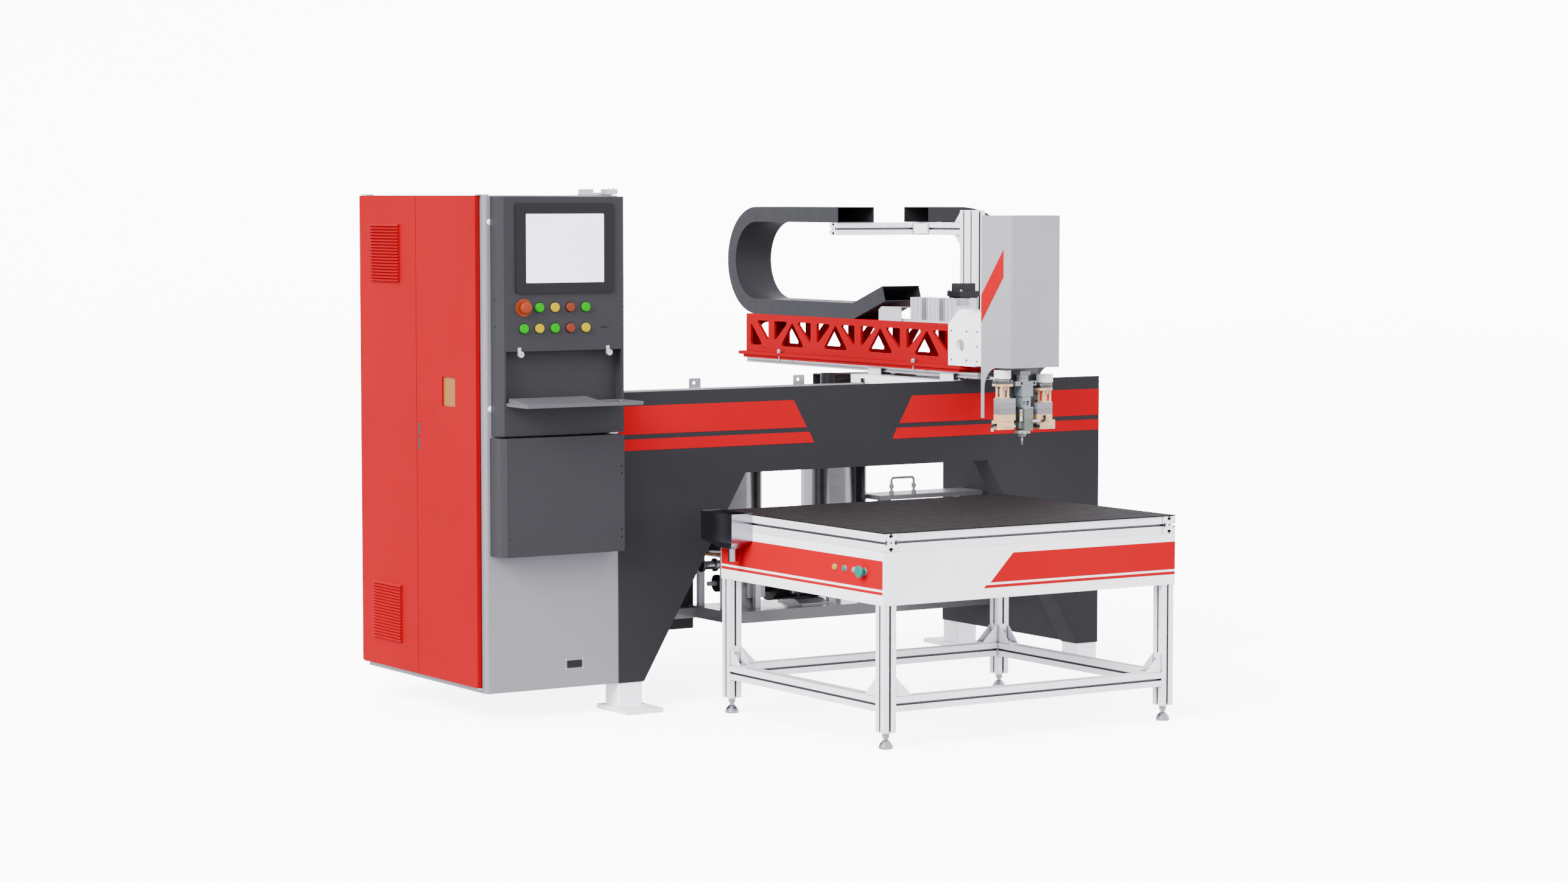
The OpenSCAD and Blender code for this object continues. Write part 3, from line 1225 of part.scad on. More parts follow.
module tanks() color("#c6c8cd") site() for (i = [0, 1]) translate([tank_x[i], tank_y, tank_z]) {
    l = outlet_l[i];
    // Shell with rounded lower edge and clamped lid
    rotate_extrude($fn = 96) polygon([[0, 0], [tank_r - 12, 0], [tank_r - 3.5, 3.5],
        [tank_r, 12], [tank_r, tank_h - 20], [tank_r + 9, tank_h - 20], [tank_r + 9, tank_h],
        [tank_r - 6, tank_h + 14], [104, tank_h + 26], [0, tank_h + 26], [0, tank_h + 22],
        [102, tank_h + 22], [tank_r - 8, tank_h + 10], [tank_r - tank_wall, tank_h - 4],
        [tank_r - tank_wall, 13], [tank_r - 12, tank_wall], [0, tank_wall]]);
    // Outlet: flanged stub, elbow and side port
    translate([0, 0, -52]) cylinder(52, r = 17);
    translate([0, 0, -24]) cylinder(9, r = 28);
    translate([0, 0, -52]) sphere(17);
    translate([-l, 0, -52]) rotate([0, 90, 0]) cylinder(l, r = 17);
    for (x = [-l - 9, -l / 2 - 9]) translate([x, 0, -52]) rotate([0, 90, 0]) cylinder(9, r = 26);
    // Lid clamps
    for (a = [45 : 90 : 315]) rotate(a) translate([tank_r + 2, -8, tank_h - 26])
        cube([14, 16, 34]);
}
module metering_pumps() color("#8e9097") site() {
    // Pump head at the left, plate, gearbox and pedestals
    rod_x(pump_x - 146, pump_x - 96, pump_y, pump_z, 9);
    block(pump_x - 40, pump_x - 24, pump_y - 42, pump_y + 42, shelf_z, pump_z + 38);
    block(pump_x - 96, pump_x - 40, pump_y - 26, pump_y + 26, pump_z - 26, pump_z + 26);
    block(pump_x - 24, pump_x + 10, pump_y - 20, pump_y + 20, pump_z - 20, pump_z + 20);
    difference() {
        block(pump_x + 10, pump_x + 92, pump_y - 42, pump_y + 42, pump_z - 62, pump_z + 20);
        for (a = [-1, 1], z = [-54, 12]) rod_x(pump_x + 9, pump_x + 24, pump_y + a * 34,
            pump_z + z, 4);
    }
    yz(pump_x + 14, pump_x + 72) polygon([[pump_y - 26, pump_z - 62], [pump_y + 26, pump_z - 62],
        [pump_y + 40, shelf_z], [pump_y - 40, shelf_z]]);
    // Cradle of the motor
    mz = pump_z - 81 - shut_gap;
    yz(pump_x + motor_l - 136, pump_x + motor_l - 6) polygon([[pump_y - 40, mz], [pump_y + 40, mz],
        [pump_y + 64, shelf_z + 7], [pump_y + 90, shelf_z + 7], [pump_y + 90, shelf_z],
        [pump_y - 90, shelf_z], [pump_y - 90, shelf_z + 7], [pump_y - 64, shelf_z + 7]]);
}
module pump_motors() color("#1a1a1e") site() {
    // Coupling disc at the pump shaft
    difference() {
        rod_x(pump_x - 110, pump_x - 97, pump_y, pump_z, 34);
        rod_x(pump_x - 111, pump_x - 96, pump_y, pump_z, 9 + shut_gap);
    }
    // Neck, motor with cooling ribs and fan cowl
    rod_x(pump_x + 92, pump_x + 130, pump_y, pump_z - 14, 34);
    rod_x(pump_x + 130, pump_x + 142, pump_y, pump_z - 2, 80);
    rod_x(pump_x + 142, pump_x + motor_l, pump_y, pump_z - 2, 74);
    for (i = [0 : 11]) translate([0, pump_y, pump_z - 2]) rotate([15 + i * 30, 0, 0])
        block(pump_x + 150, pump_x + 320, -2, 2, 60, 80);
    rod_x(pump_x + motor_l - 46, pump_x + motor_l, pump_y, pump_z - 2, 79);
    // Agitator drive over the right tank
    ax = tank_x[1] - 58;
    ay = tank_y - 47;
    az = tank_z + tank_h + 26;
    rod_z(az, az + 90, ax, ay, 24);
    rod_z(az + 90, az + 98, ax, ay, 32);
    rod_z(az + 98, car_z1 + 4, ax, ay, 31);
    rod_x(ax + 20, ax + 97, ay, car_z1 - 24, 22);
}
module heat_plate() color("#a7a9af") site() {
    x0 = tank_x[1] + 135;
    z = tank_z + 178;
    block(x0, shelf_x1, shelf_y + 50, py1 - 130, z, z + 18);
    // Upright that carries the plate from the shelf
    block(shelf_x1 - 90, shelf_x1 - 50, shelf_y + 90, shelf_y + 130, shelf_z, z);
    block(x0 + 40, x0 + 80, shelf_y + 90, shelf_y + 130, shelf_z, z);
    // Tube bow with its unions
    for (x = [x0 + 66, x0 + 174]) {
        rod_z(z + 18, z + 74, x, shelf_y + 66, 5);
        for (k = [0, 26]) rod_z(z + 18 + k, z + 34 + k, x, shelf_y + 66, 9);
        translate([x, shelf_y + 66, z + 74]) rotate([90, 0, x > x0 + 100 ? 0 : 180])
            translate([-12, 0, 0]) rotate_extrude(angle = 90) translate([12, 0]) circle(5);
    }
    rod_x(x0 + 78, x0 + 162, shelf_y + 66, z + 86, 5);
}

// Table
module corner_gusset(h) difference() {
    // Folded bracket with a sloping back, in the corner at the origin
    translate([0, -21, 0]) cube([h, 42, h]);
    translate([0, -22, h]) rotate([0, 45, 0]) cube([h * 2, 44, h * 2]);
    translate([4, -17, 4]) cube([h, 34, h]);
}
module table_frame() color("#dcdde2") site() {
    for (x = [0, tx1], y = [0, ty1]) prof_z(leg_z, top_z, x, y, prof_w, prof_w);
    for (y = [0, ty1]) prof_x(leg, tx1 - leg, y, low_rail_z + leg, prof_w, prof_w);
    for (x = [0, tx1]) prof_y(leg, ty1 - leg, x, low_rail_z + leg, prof_w, prof_w);
    // Top frame: side profiles run through, cross profiles sit between them
    for (x = [0, tx1]) prof_y(y_min, ty1 - y_min, x, top_z + top_h / 2, top_w, top_h);
    for (y = [0, ty1 / 2, ty1]) prof_x(top_w / 2, tx1 - top_w / 2, y, top_z + top_h / 2,
        prof_w, top_h);
    // Corner brackets on the lower rails
    for (i = [0, 1], j = [0, 1]) translate([i * tx1, j * ty1, low_rail_z + prof_w]) {
        rotate(i * 180) translate([leg, 0, 0]) corner_gusset(70);
        rotate(j == 0 ? 90 : -90) translate([leg, 0, 0]) corner_gusset(70);
    }
}
module table_panels() color("#f4f4f8") site() {
    o = leg + apron_t;
    for (y = [-o, ty1 + leg]) block(-o, tx1 + o, y, y + apron_t, apron_z0, top_z - 1);
    for (x = [-o, tx1 + leg]) difference() {
        block(x, x + apron_t, -leg, ty1 + leg, apron_z0, top_z - 1);
        // Seats of the table buttons
        for (k = [0 : 3]) rod_x(-o - 1, -o + apron_t + 1, table_button_y(k),
            apron_z0 + apron_h - 74, (k == 3 ? table_stop_r : table_push_r) + fit);
    }
    // Screw heads at the front left corner
    for (y = [10, 22]) rod_x(-o - 1.5, -o, y, top_z - 10, 2.5);
}
function table_button_y(k) = 264 - k * 60;
module table_stripes() color(red) site() {
    o = leg + apron_t;
    t = stripe_t;
    z = apron_z0;
    // Left side
    difference() {
        block(-o - t, -o, -leg + 4, ty1 + leg, z + 54, z + 151);
        for (k = [0 : 3]) rod_x(-o - t - 1, -o + 1, table_button_y(k), z + apron_h - 74,
            (k == 3 ? table_stop_r : table_push_r) + 2.2);
    }
    block(-o - t, -o, -leg + 4, ty1 + leg, z + 36, z + 45.5);
    // Front
    xz(-o - t, -o) {
        polygon([[412, z + 54], [tx1 + o, z + 54], [tx1 + o, z + 152], [508, z + 152]]);
        polygon([[384, z + 36], [tx1 + o, z + 36], [tx1 + o, z + 46], [394, z + 46]]);
    }
}
module table_mat() color("#4c4648") site()
    block(-leg - 2, tx1 + leg + 2, y_min + 1, ty1 - y_min - 1, top_z1, top_z1 + mat_t);
module table_feet() color("#b9bcc2") site() for (x = [0, tx1], y = [0, ty1])
    translate([x, y, 0]) rotate_extrude() polygon([[0, 0], [22, 0], [24, 3], [24, 10], [22, 12],
        [22, 15], [13, 26], [8, 30], [8, 34], [6, 36], [6, leg_z - 10], [13, leg_z - 10],
        [13, leg_z], [0, leg_z]]);
cup_w = 86;
cup_l = 208;
cup_h = 102;
module catch_cup() color("#9d9fa6") site() {
    x1 = -leg - apron_t - 0.8;
    x0 = x1 - cup_w;
    y1 = ty1 + 24;
    y0 = y1 - cup_l;
    z1 = top_z1 + mat_t + 3;
    z0 = z1 - cup_h;
    t = 2;
    sx = (x0 + x1) / 2;
    sy = y0 + 60;
    difference() {
        union() {
            block(x0, x1, y0, y1, z0, z1);
            hull() {
                block(x0, x1, y0, y1, z0 - 0.5, z0);
                block(sx - 26, sx + 26, sy - 26, sy + 40, z0 - 24, z0 - 23);
            }
            rod_z(z0 - 70, z0 - 20, sx, sy, 17.5);
        }
        block(x0 + t, x1 - t, y0 + t, y1 - t, z0, z1 + 1);
        hull() {
            block(x0 + t, x1 - t, y0 + t, y1 - t, z0 - 0.4, z0 + 0.6);
            block(sx - 22, sx + 22, sy - 22, sy + 36, z0 - 22, z0 - 21);
        }
        rod_z(z0 - 71, z0 - 15, sx, sy, 15);
    }
    // Hanger on the top frame
    block(x1, -top_w / 2, y0 + 30, y1 - 30, z1 - 60, z1 - 20);
}
// Push button on the left side panel
module table_push(k, r, cap, h) translate([-leg - apron_t, table_button_y(k),
    apron_z0 + apron_h - 74]) rotate([0, -90, 0]) rotate_extrude() polygon([[0, -12], [r - 2, -12],
    [r - 2, -7], [r + 2.5, -7], [r + 2.5, -apron_t - shut_gap], [r, -apron_t - shut_gap],
    [r, h - 8], [cap, h - 8], [cap, h - 2], [cap - 2, h], [0, h]]);
module table_button_1() color("#f0dc1e") site() table_push(0, table_push_r, table_push_r, 10);
module table_button_2() color("#18c1a4") site() table_push(1, table_push_r, table_push_r, 10);
module table_button_3() color("#c3ccd0") site() table_push(2, table_push_r, table_push_r, 10);
module table_mushroom() color("#18c1a4") site() table_push(3, table_stop_r, 20.5, 30);

portal_frame();
portal_cladding();
portal_stripes();
side_cladding();
cabinet_body();
mounting_plate();
rear_door();
front_door();
door_window();
latch_upper();
latch_lower();
box_pivot();
hmi_box();
hmi_screen();
tray_catches();
estop_collar();
estop_button();
button_a2();
button_a3();
button_a4();
button_a5();
button_b1();
button_b2();
button_b3();
button_b4();
button_b5();
keyboard_tray();
keyboard();
lower_box();
x_rails();
x_carriage();
linear_blocks();
chain_mast();
drive_motor();
x_chain();
truss_arm();
arm_rails();
arm_end_plates();
valve_blocks();
head_cover();
cover_stripe();
y_chain();
head_slide();
metering_valves();
mixing_head();
pump_shelf();
tanks();
metering_pumps();
pump_motors();
heat_plate();
table_frame();
table_panels();
table_stripes();
table_mat();
table_feet();
catch_cup();
table_button_1();
table_button_2();
table_button_3();
table_mushroom();
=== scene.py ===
# %% [markdown]
# # A gantry dispensing machine, dressed for its portrait
# The machine is already built as true solids: portal, cabinet, arm, ducts, head, tanks and
# table. In this lesson those solids get their finishes, the small parts that give them scale
# are made as meshes, and a camera and soft lights are set up. Everything is in metres. X runs
# along the portal, Y runs from the table to the rear, and Z points up.

# %% Load the machine
import bpy
import bmesh
import json
from math import cos, pi, radians, sin
from mathutils import Matrix, Vector


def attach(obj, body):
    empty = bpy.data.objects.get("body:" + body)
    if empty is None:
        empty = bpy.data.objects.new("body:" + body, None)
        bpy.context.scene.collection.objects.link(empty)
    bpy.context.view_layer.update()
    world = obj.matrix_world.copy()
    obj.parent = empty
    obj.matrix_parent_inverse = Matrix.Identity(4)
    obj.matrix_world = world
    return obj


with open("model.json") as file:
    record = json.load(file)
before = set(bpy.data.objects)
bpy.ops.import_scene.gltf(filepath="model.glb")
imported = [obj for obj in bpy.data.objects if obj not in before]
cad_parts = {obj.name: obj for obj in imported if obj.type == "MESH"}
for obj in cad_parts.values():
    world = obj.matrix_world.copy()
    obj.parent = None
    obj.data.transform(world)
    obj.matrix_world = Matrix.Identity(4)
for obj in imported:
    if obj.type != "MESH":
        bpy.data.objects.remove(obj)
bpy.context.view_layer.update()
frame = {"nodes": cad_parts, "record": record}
nodes = frame["nodes"]

# Middle of the machine, in millimetres from the front left table foot
middle_x, middle_y = 596.275, 1411.675


def mm(x, y, z):
    """A point in millimetres from the front left table foot, in the metres of the scene."""
    return Vector(((x - middle_x) / 1000, (y - middle_y) / 1000, z / 1000))


# %% [markdown]
# ## Camera
# The picture was taken from the front left, at about the height of the machine's top, with a
# long lens, so that the depth looks calm. A lens of about 80 mm on a 36 mm sensor gives that.
# The camera looks down by four degrees, so its level line lies high in the frame, which leaves
# room for the floor.

# %% Place the camera
look_down, turn_right = 4.02, 32.775
camera = bpy.data.objects.new("camera", bpy.data.cameras.new("camera"))
bpy.context.scene.collection.objects.link(camera)
camera.data.lens = 80.14
camera.data.sensor_width = 36.0
camera.data.clip_end = 250.0
camera.location = (-7.1853, -11.0137, 1.858)
camera.rotation_euler = (radians(90 - look_down), 0.0, radians(-turn_right))
bpy.context.scene.camera = camera
print("camera stands", round(camera.location.length, 2), "m from the middle of the machine")

# %% [markdown]
# ## Floor
# A product picture wants a floor that has no edge. A flat sheet would show a horizon, so the
# floor here is a wide round dish: flat under the machine, and turned up all round, farther out
# than the camera stands. It looks the same from every side. The floor only has to be seen, so
# it is kept out of bounced light and reflections and casts no shadow. The lamps shine through
# its wall, and the sky lights the machine from below too.

# %% Make the floor dish
def dish(flat, bend, height, steps=96):
    """A round floor, flat out to one radius, that turns up in a quarter circle into a wall."""
    line = [(flat * k / 4, 0.0) for k in range(1, 5)]
    line += [(flat + bend * sin(pi / 2 * i / 16), bend * (1 - cos(pi / 2 * i / 16)))
             for i in range(1, 17)]
    line += [(flat + bend, height)]
    points = [(0, 0, 0)] + [(r * cos(2 * pi * i / steps), r * sin(2 * pi * i / steps), z)
                            for r, z in line for i in range(steps)]
    faces = [(0, 1 + i, 1 + (i + 1) % steps) for i in range(steps)]
    for row in range(len(line) - 1):
        a, b = 1 + row * steps, 1 + (row + 1) * steps
        faces += [(a + i, b + i, b + (i + 1) % steps, a + (i + 1) % steps)
                  for i in range(steps)]
    mesh = bpy.data.meshes.new("floor")
    mesh.from_pydata(points, [], faces)
    for face in mesh.polygons:
        face.use_smooth = True
    sheet = bpy.data.objects.new("floor", mesh)
    bpy.context.scene.collection.objects.link(sheet)
    return sheet


floor = dish(flat=26, bend=12, height=70)
floor.visible_diffuse = False
floor.visible_glossy = False
floor.visible_shadow = False
print("floor dish:", len(floor.data.polygons), "faces")

# %% [markdown]
# ## Light
# The picture is bright and nearly without hard shadows: a white studio. The sky gives most of
# the light, strongest at the level of the machine so that upright faces are bright. One wide
# soft lamp at the left makes the left faces lighter than the front ones, which is what shows
# the form. A second lamp, high at the left, shines on the floor alone and lays the soft shadows
# there.

# %% Hang the lights
def soft_lamp(name, towards, strength, width):
    """A far soft lamp, seen in the direction towards, as wide as an angle in degrees."""
    light = bpy.data.lights.new(name, "SUN")
    light.energy, light.angle = strength, radians(width)
    lamp = bpy.data.objects.new(name, light)
    lamp.rotation_euler = Vector(towards).to_track_quat("Z", "Y").to_euler()
    bpy.context.scene.collection.objects.link(lamp)
    return lamp


soft_lamp("key_lamp", (-0.80, -0.30, 0.52), 6.5, 32)
floor_lamp = soft_lamp("floor_lamp", (-0.60, -0.20, 1.0), 7.0, 55)
floor_only = bpy.data.collections.new("floor_only")
floor_only.objects.link(floor)
floor_lamp.light_linking.receiver_collection = floor_only

sky = bpy.data.worlds.new("studio_sky")
bpy.context.scene.world = sky
sky.use_nodes = True
tree = sky.node_tree
way = tree.nodes.new("ShaderNodeTexCoord")
parts = tree.nodes.new("ShaderNodeSeparateXYZ")
rise = tree.nodes.new("ShaderNodeMapRange")
rise.inputs["From Min"].default_value = -1.0
shades = tree.nodes.new("ShaderNodeValToRGB")
tree.links.new(way.outputs["Generated"], parts.inputs[0])
tree.links.new(parts.outputs["Z"], rise.inputs["Value"])
tree.links.new(rise.outputs["Result"], shades.inputs["Fac"])
tree.links.new(shades.outputs["Color"], tree.nodes["Background"].inputs["Color"])
stops = shades.color_ramp.elements
stops[0].color = (0.36, 0.36, 0.38, 1)
stops[1].color = (0.60, 0.60, 0.62, 1)
for place, tone in ((0.40, 0.55), (0.52, 1.0), (0.72, 0.95)):
    stops.new(place).color = (tone, tone, tone * 1.05, 1)
tree.nodes["Background"].inputs["Strength"].default_value = 3.5

# %% [markdown]
# ## How a finish is built
# Every finish here is a small chain of nodes: noise in the object's own coordinates shifts the
# colour a little, a second noise changes how rough the surface is, and a third, much finer one
# gives it height. A rounded-edge trick helps sheet metal: the bevel node returns the normal of
# a softly rounded edge, and where it differs from the true normal there is an edge, which the
# paint and metal finishes colour lighter as a painted highlight.

# %% Helpers for node chains
def new_finish(name):
    """An empty material with its node tree, its shader and the object's coordinates."""
    made = bpy.data.materials.new(name)
    made.use_nodes = True
    tree = made.node_tree
    shader = tree.nodes["Principled BSDF"]
    place = tree.nodes.new("ShaderNodeTexCoord")
    return made, tree, shader, place.outputs["Object"]


def noise(tree, place, scale, detail=3.0, stretch=(1, 1, 1)):
    """Noise whose grain may be stretched along an axis."""
    shift = tree.nodes.new("ShaderNodeMapping")
    shift.inputs["Scale"].default_value = stretch
    grain = tree.nodes.new("ShaderNodeTexNoise")
    grain.inputs["Scale"].default_value = scale
    grain.inputs["Detail"].default_value = detail
    tree.links.new(place, shift.inputs["Vector"])
    tree.links.new(shift.outputs["Vector"], grain.inputs["Vector"])
    return grain.outputs["Fac"]


def spread(tree, value, low, high, start=0.3, end=0.7):
    """Maps start..end of a value to low..high."""
    step = tree.nodes.new("ShaderNodeMapRange")
    step.inputs["From Min"].default_value = start
    step.inputs["From Max"].default_value = end
    step.inputs["To Min"].default_value = low
    step.inputs["To Max"].default_value = high
    tree.links.new(value, step.inputs["Value"])
    return step.outputs["Result"]


def mix_colour(tree, factor, first, second):
    """Mixes two colours, each a tuple or an output, by a factor output."""
    mix = tree.nodes.new("ShaderNodeMix")
    mix.data_type = "RGBA"
    tree.links.new(factor, mix.inputs["Factor"])
    for socket, colour in ((mix.inputs[6], first), (mix.inputs[7], second)):
        if isinstance(colour, tuple):
            socket.default_value = (*colour, 1)
        else:
            tree.links.new(colour, socket)
    return mix.outputs[2]


def edges(tree, radius):
    """The softened normal, and a value that is 1 on an edge and 0 on a flat face."""
    soft = tree.nodes.new("ShaderNodeBevel")
    soft.samples = 4
    soft.inputs["Radius"].default_value = radius
    true = tree.nodes.new("ShaderNodeNewGeometry")
    dot = tree.nodes.new("ShaderNodeVectorMath")
    dot.operation = "DOT_PRODUCT"
    tree.links.new(soft.outputs["Normal"], dot.inputs[0])
    tree.links.new(true.outputs["Normal"], dot.inputs[1])
    return soft.outputs["Normal"], spread(tree, dot.outputs["Value"], 1, 0, 0.86, 0.99)


def relief(tree, shader, height, depth, normal=None):
    """Turns a height value into bumps on the shader's normal."""
    bump = tree.nodes.new("ShaderNodeBump")
    bump.inputs["Strength"].default_value = 1.0
    bump.inputs["Distance"].default_value = depth
    tree.links.new(height, bump.inputs["Height"])
    if normal is not None:
        tree.links.new(normal, bump.inputs["Normal"])
    tree.links.new(bump.outputs["Normal"], shader.inputs["Normal"])


def shade(colour, by):
    """A colour made lighter or darker by a factor."""
    return tuple(min(1.0, c * by) for c in colour)


def bands(tree, place, levels, low, high):
    """A colour for each height band: levels lists (start in metres, colour) from below."""
    split = tree.nodes.new("ShaderNodeSeparateXYZ")
    tree.links.new(place, split.inputs[0])
    ramp = tree.nodes.new("ShaderNodeValToRGB")
    ramp.color_ramp.interpolation = "CONSTANT"
    stops = ramp.color_ramp.elements
    stops.remove(stops[1])
    stops[0].position, stops[0].color = 0, (*levels[0][1], 1)
    for start, colour in levels[1:]:
        stops.new((start - low) / (high - low)).color = (*colour, 1)
    tree.links.new(spread(tree, split.outputs["Z"], 0, 1, low, high), ramp.inputs["Fac"])
    return ramp.outputs["Color"]


# %% [markdown]
# ## Painted sheet
# The cabinet, the doors, the cladding, the arm and the table panels are powder coated. Powder
# flows into a skin with a very fine ripple, called orange peel, and thins out on sharp edges.
# The edges are also painted lighter, a painted highlight, most strongly on the dark coats. The
# gloss differs from colour to colour. A strong red turns pink where white light glances off it,
# so the red coats are kept nearly free of gloss.

# %% Mix the paints
finishes = {}


def paint(name, colour, rough, edge=1.2, peel=0.00005, gloss=0.35, levels=None):
    """A powder coat. levels, as (low, high, list of bands), make its colour change with height."""
    made, tree, shader, place = new_finish(name)
    normal, edge_highlight = edges(tree, 0.0012)
    drift = spread(tree, noise(tree, place, 2.2), 0.965, 1.035)
    if levels:
        base = bands(tree, place, levels[2], levels[0], levels[1])
    else:
        # Edges are painted lighter by the factor edge: a painted highlight.
        base = mix_colour(tree, edge_highlight, colour, shade(colour, edge))
    tone = tree.nodes.new("ShaderNodeVectorMath")
    tone.operation = "SCALE"
    tree.links.new(base, tone.inputs[0])
    tree.links.new(drift, tone.inputs["Scale"])
    tree.links.new(tone.outputs[0], shader.inputs["Base Color"])
    tree.links.new(spread(tree, noise(tree, place, 9), rough - 0.03, rough + 0.05),
                   shader.inputs["Roughness"])
    relief(tree, shader, noise(tree, place, 420, 2), peel, normal)
    shader.inputs["Specular IOR Level"].default_value = gloss
    finishes[name] = made


white = (0.93, 0.93, 0.97)
paint("red_paint", (0.25, 0.0, 0.004), 0.42, gloss=0.012)
paint("red_film", (0.35, 0.0, 0.006), 0.42, gloss=0.012)
paint("anthracite", (0.026, 0.0255, 0.029), 0.46, edge=1.7, gloss=0.10)
paint("cladding_grey", (0.0185, 0.018, 0.0205), 0.46, edge=1.9, gloss=0.08)
# The keyboard tray has the coat of the control boxes; here it is painted paler, as painted light.
paint("tray_lit_grey", (0.075, 0.074, 0.080), 0.46, edge=1.7, gloss=0.12)
paint("portal_paint", white, 0.40)
paint("cabinet_grey", (0.185, 0.18, 0.20), 0.42, gloss=0.2)
paint("panel_white", (0.95, 0.95, 0.98), 0.38)
paint("white_plate", white, 0.40)
paint("cover_grey", (0.265, 0.26, 0.285), 0.36, gloss=0.3)
paint("block_white", (0.60, 0.60, 0.64), 0.34)
paint("carriage_white", white, 0.38, levels=(1.09, 1.16, [(1.09, (0.09, 0.38, 0.03)),
                                                          (1.1185, white)]))
paint("motor_black", (0.005, 0.005, 0.006), 0.42, edge=2.6, gloss=0.25)
paint("copper_plate", (0.20, 0.075, 0.012), 0.45, gloss=0.1)
print("paints:", len(finishes))

# %% [markdown]
# ## The head's own bands
# The two metering valves are stacks of blocks, and each block has its own metal: bronze below,
# grey bodies, a bronze cage and flange, a dark motor plate and a pale cap. One finish serves
# both stacks, so it reads the height and picks the colour. The right stack is lower than the
# left, and the finish picks between two lists by the side it is on.

# %% Finish the valves and the mixing head
head_x, head_y = 1249.5, 920.0
# Of each valve: its X, the height of its foot, the height of its body, and its side
valves = ((1163.5, 984, 60, -1), (1335.5, 980, 44, 1))
bronze = (0.60, 0.37, 0.19)
valve_greys = [(0.21, 0.20, 0.22), (0.175, 0.165, 0.185), (0.145, 0.14, 0.155)]
plate_dark = (0.026, 0.024, 0.027)
cap_white = (0.78, 0.76, 0.78)


def valve_levels(foot, body):
    """The bands of one valve: height of its foot and height of its body, in millimetres."""
    top = foot + 56 + body
    stack = [(foot, bronze), (foot + 34, shade(bronze, 0.94))]
    stack += [(foot + 56, valve_greys[2]), (foot + 76, valve_greys[1])]
    stack += [(foot + 96, valve_greys[0])] if body > 50 else []
    stack += [(top, bronze), (top + 45.2, shade(bronze, 1.05)), (top + 54.2, plate_dark),
              (top + 64.7, (0.11, 0.11, 0.115)), (top + 75, cap_white)]
    return [(z / 1000, colour) for z, colour in stack]


made, tree, shader, place = new_finish("valve_bronze")
normal = edges(tree, 0.0006)[0]
side = tree.nodes.new("ShaderNodeSeparateXYZ")
tree.links.new(place, side.inputs[0])
middle = mm(head_x, 0, 0).x
which = spread(tree, side.outputs["X"], 0, 1, middle - 0.0001, middle + 0.0001)
left, right = [bands(tree, place, valve_levels(foot, body), 0.97, 1.22)
               for x, foot, body, s in valves]
tree.links.new(mix_colour(tree, which, left, right), shader.inputs["Base Color"])
tree.links.new(spread(tree, noise(tree, place, 40, 3, (1, 1, 12)), 0.30, 0.42),
               shader.inputs["Roughness"])
relief(tree, shader, noise(tree, place, 120, 2, (1, 1, 8)), 0.00001, normal)
shader.inputs["Specular IOR Level"].default_value = 0.6
finishes["valve_bronze"] = made

steel_blue = (0.14, 0.17, 0.185)
paint("head_steel", steel_blue, 0.30, gloss=0.7, levels=(0.92, 1.21, [
    (0.92, (0.22, 0.22, 0.23)), (0.954, (0.15, 0.165, 0.155)), (0.9658, (0.30, 0.30, 0.31)),
    (0.9765, (0.068, 0.082, 0.068)), (1.024, (0.090, 0.105, 0.090)), (1.058, (0.16, 0.195, 0.21)),
    (1.105, steel_blue), (1.145, (0.17, 0.20, 0.21)), (1.1632, (0.26, 0.25, 0.24)),
    (1.185, (0.19, 0.19, 0.20))]))
paint("shelf_grey", (0.1, 0.1, 0.1), 0.16, gloss=0.6, levels=(0.19, 0.48, [
    (0.19, (0.085, 0.085, 0.092)), (0.2452, (0.40, 0.40, 0.43)), (0.4578, (0.30, 0.12, 0.045))]))
print("finishes so far:", len(finishes))

# %% [markdown]
# ## Metal
# Bare metal is told from paint by its grain. A ground or drawn part has fine lines in one
# direction, a milled part has them a little broader, and an anodised profile is almost even.
# Stretching the noise along one axis draws the lines, and they drive roughness and height at
# the same time. An anodised skin also scatters light, so it is only partly metallic. The slots
# of the table's profiles get painted shade: an ambient occlusion node finds them and darkens
# their colour. Edges are painted lighter, a painted highlight.

# %% Work the metals
def metal(name, colour, rough, grain=(1, 1, 40), scale=60, depth=0.000004, even=0.05, bare=1.0,
          shade_reach=0.0):
    """Bare metal, its grain fine along one axis. bare below 1 gives an anodised skin. The last
    argument is the reach in metres within which narrow slots and inner corners get painted shade."""
    made, tree, shader, place = new_finish(name)
    normal, edge_highlight = edges(tree, 0.0008)
    lines = noise(tree, place, scale, 4, grain)
    drift = spread(tree, noise(tree, place, 5), 0, 1)
    base = mix_colour(tree, drift, shade(colour, 0.95), shade(colour, 1.04))
    # Edges are painted lighter: a painted highlight.
    skin = mix_colour(tree, edge_highlight, base, shade(colour, 1.25))
    # Painted shade: slots and inner corners found by the ambient occlusion node are darkened
    # towards black.
    if shade_reach:
        slot_shade_node = tree.nodes.new("ShaderNodeAmbientOcclusion")
        slot_shade_node.samples = 8
        slot_shade_node.only_local = True
        slot_shade_node.inputs["Distance"].default_value = shade_reach
        skin = mix_colour(tree, spread(tree, slot_shade_node.outputs["AO"], 1, 0, 0.42, 0.80), skin,
                          shade(colour, 0.05))
    tree.links.new(skin, shader.inputs["Base Color"])
    tree.links.new(spread(tree, lines, rough - even, rough + even),
                   shader.inputs["Roughness"])
    relief(tree, shader, lines, depth, normal)
    shader.inputs["Metallic"].default_value = bare
    finishes[name] = made


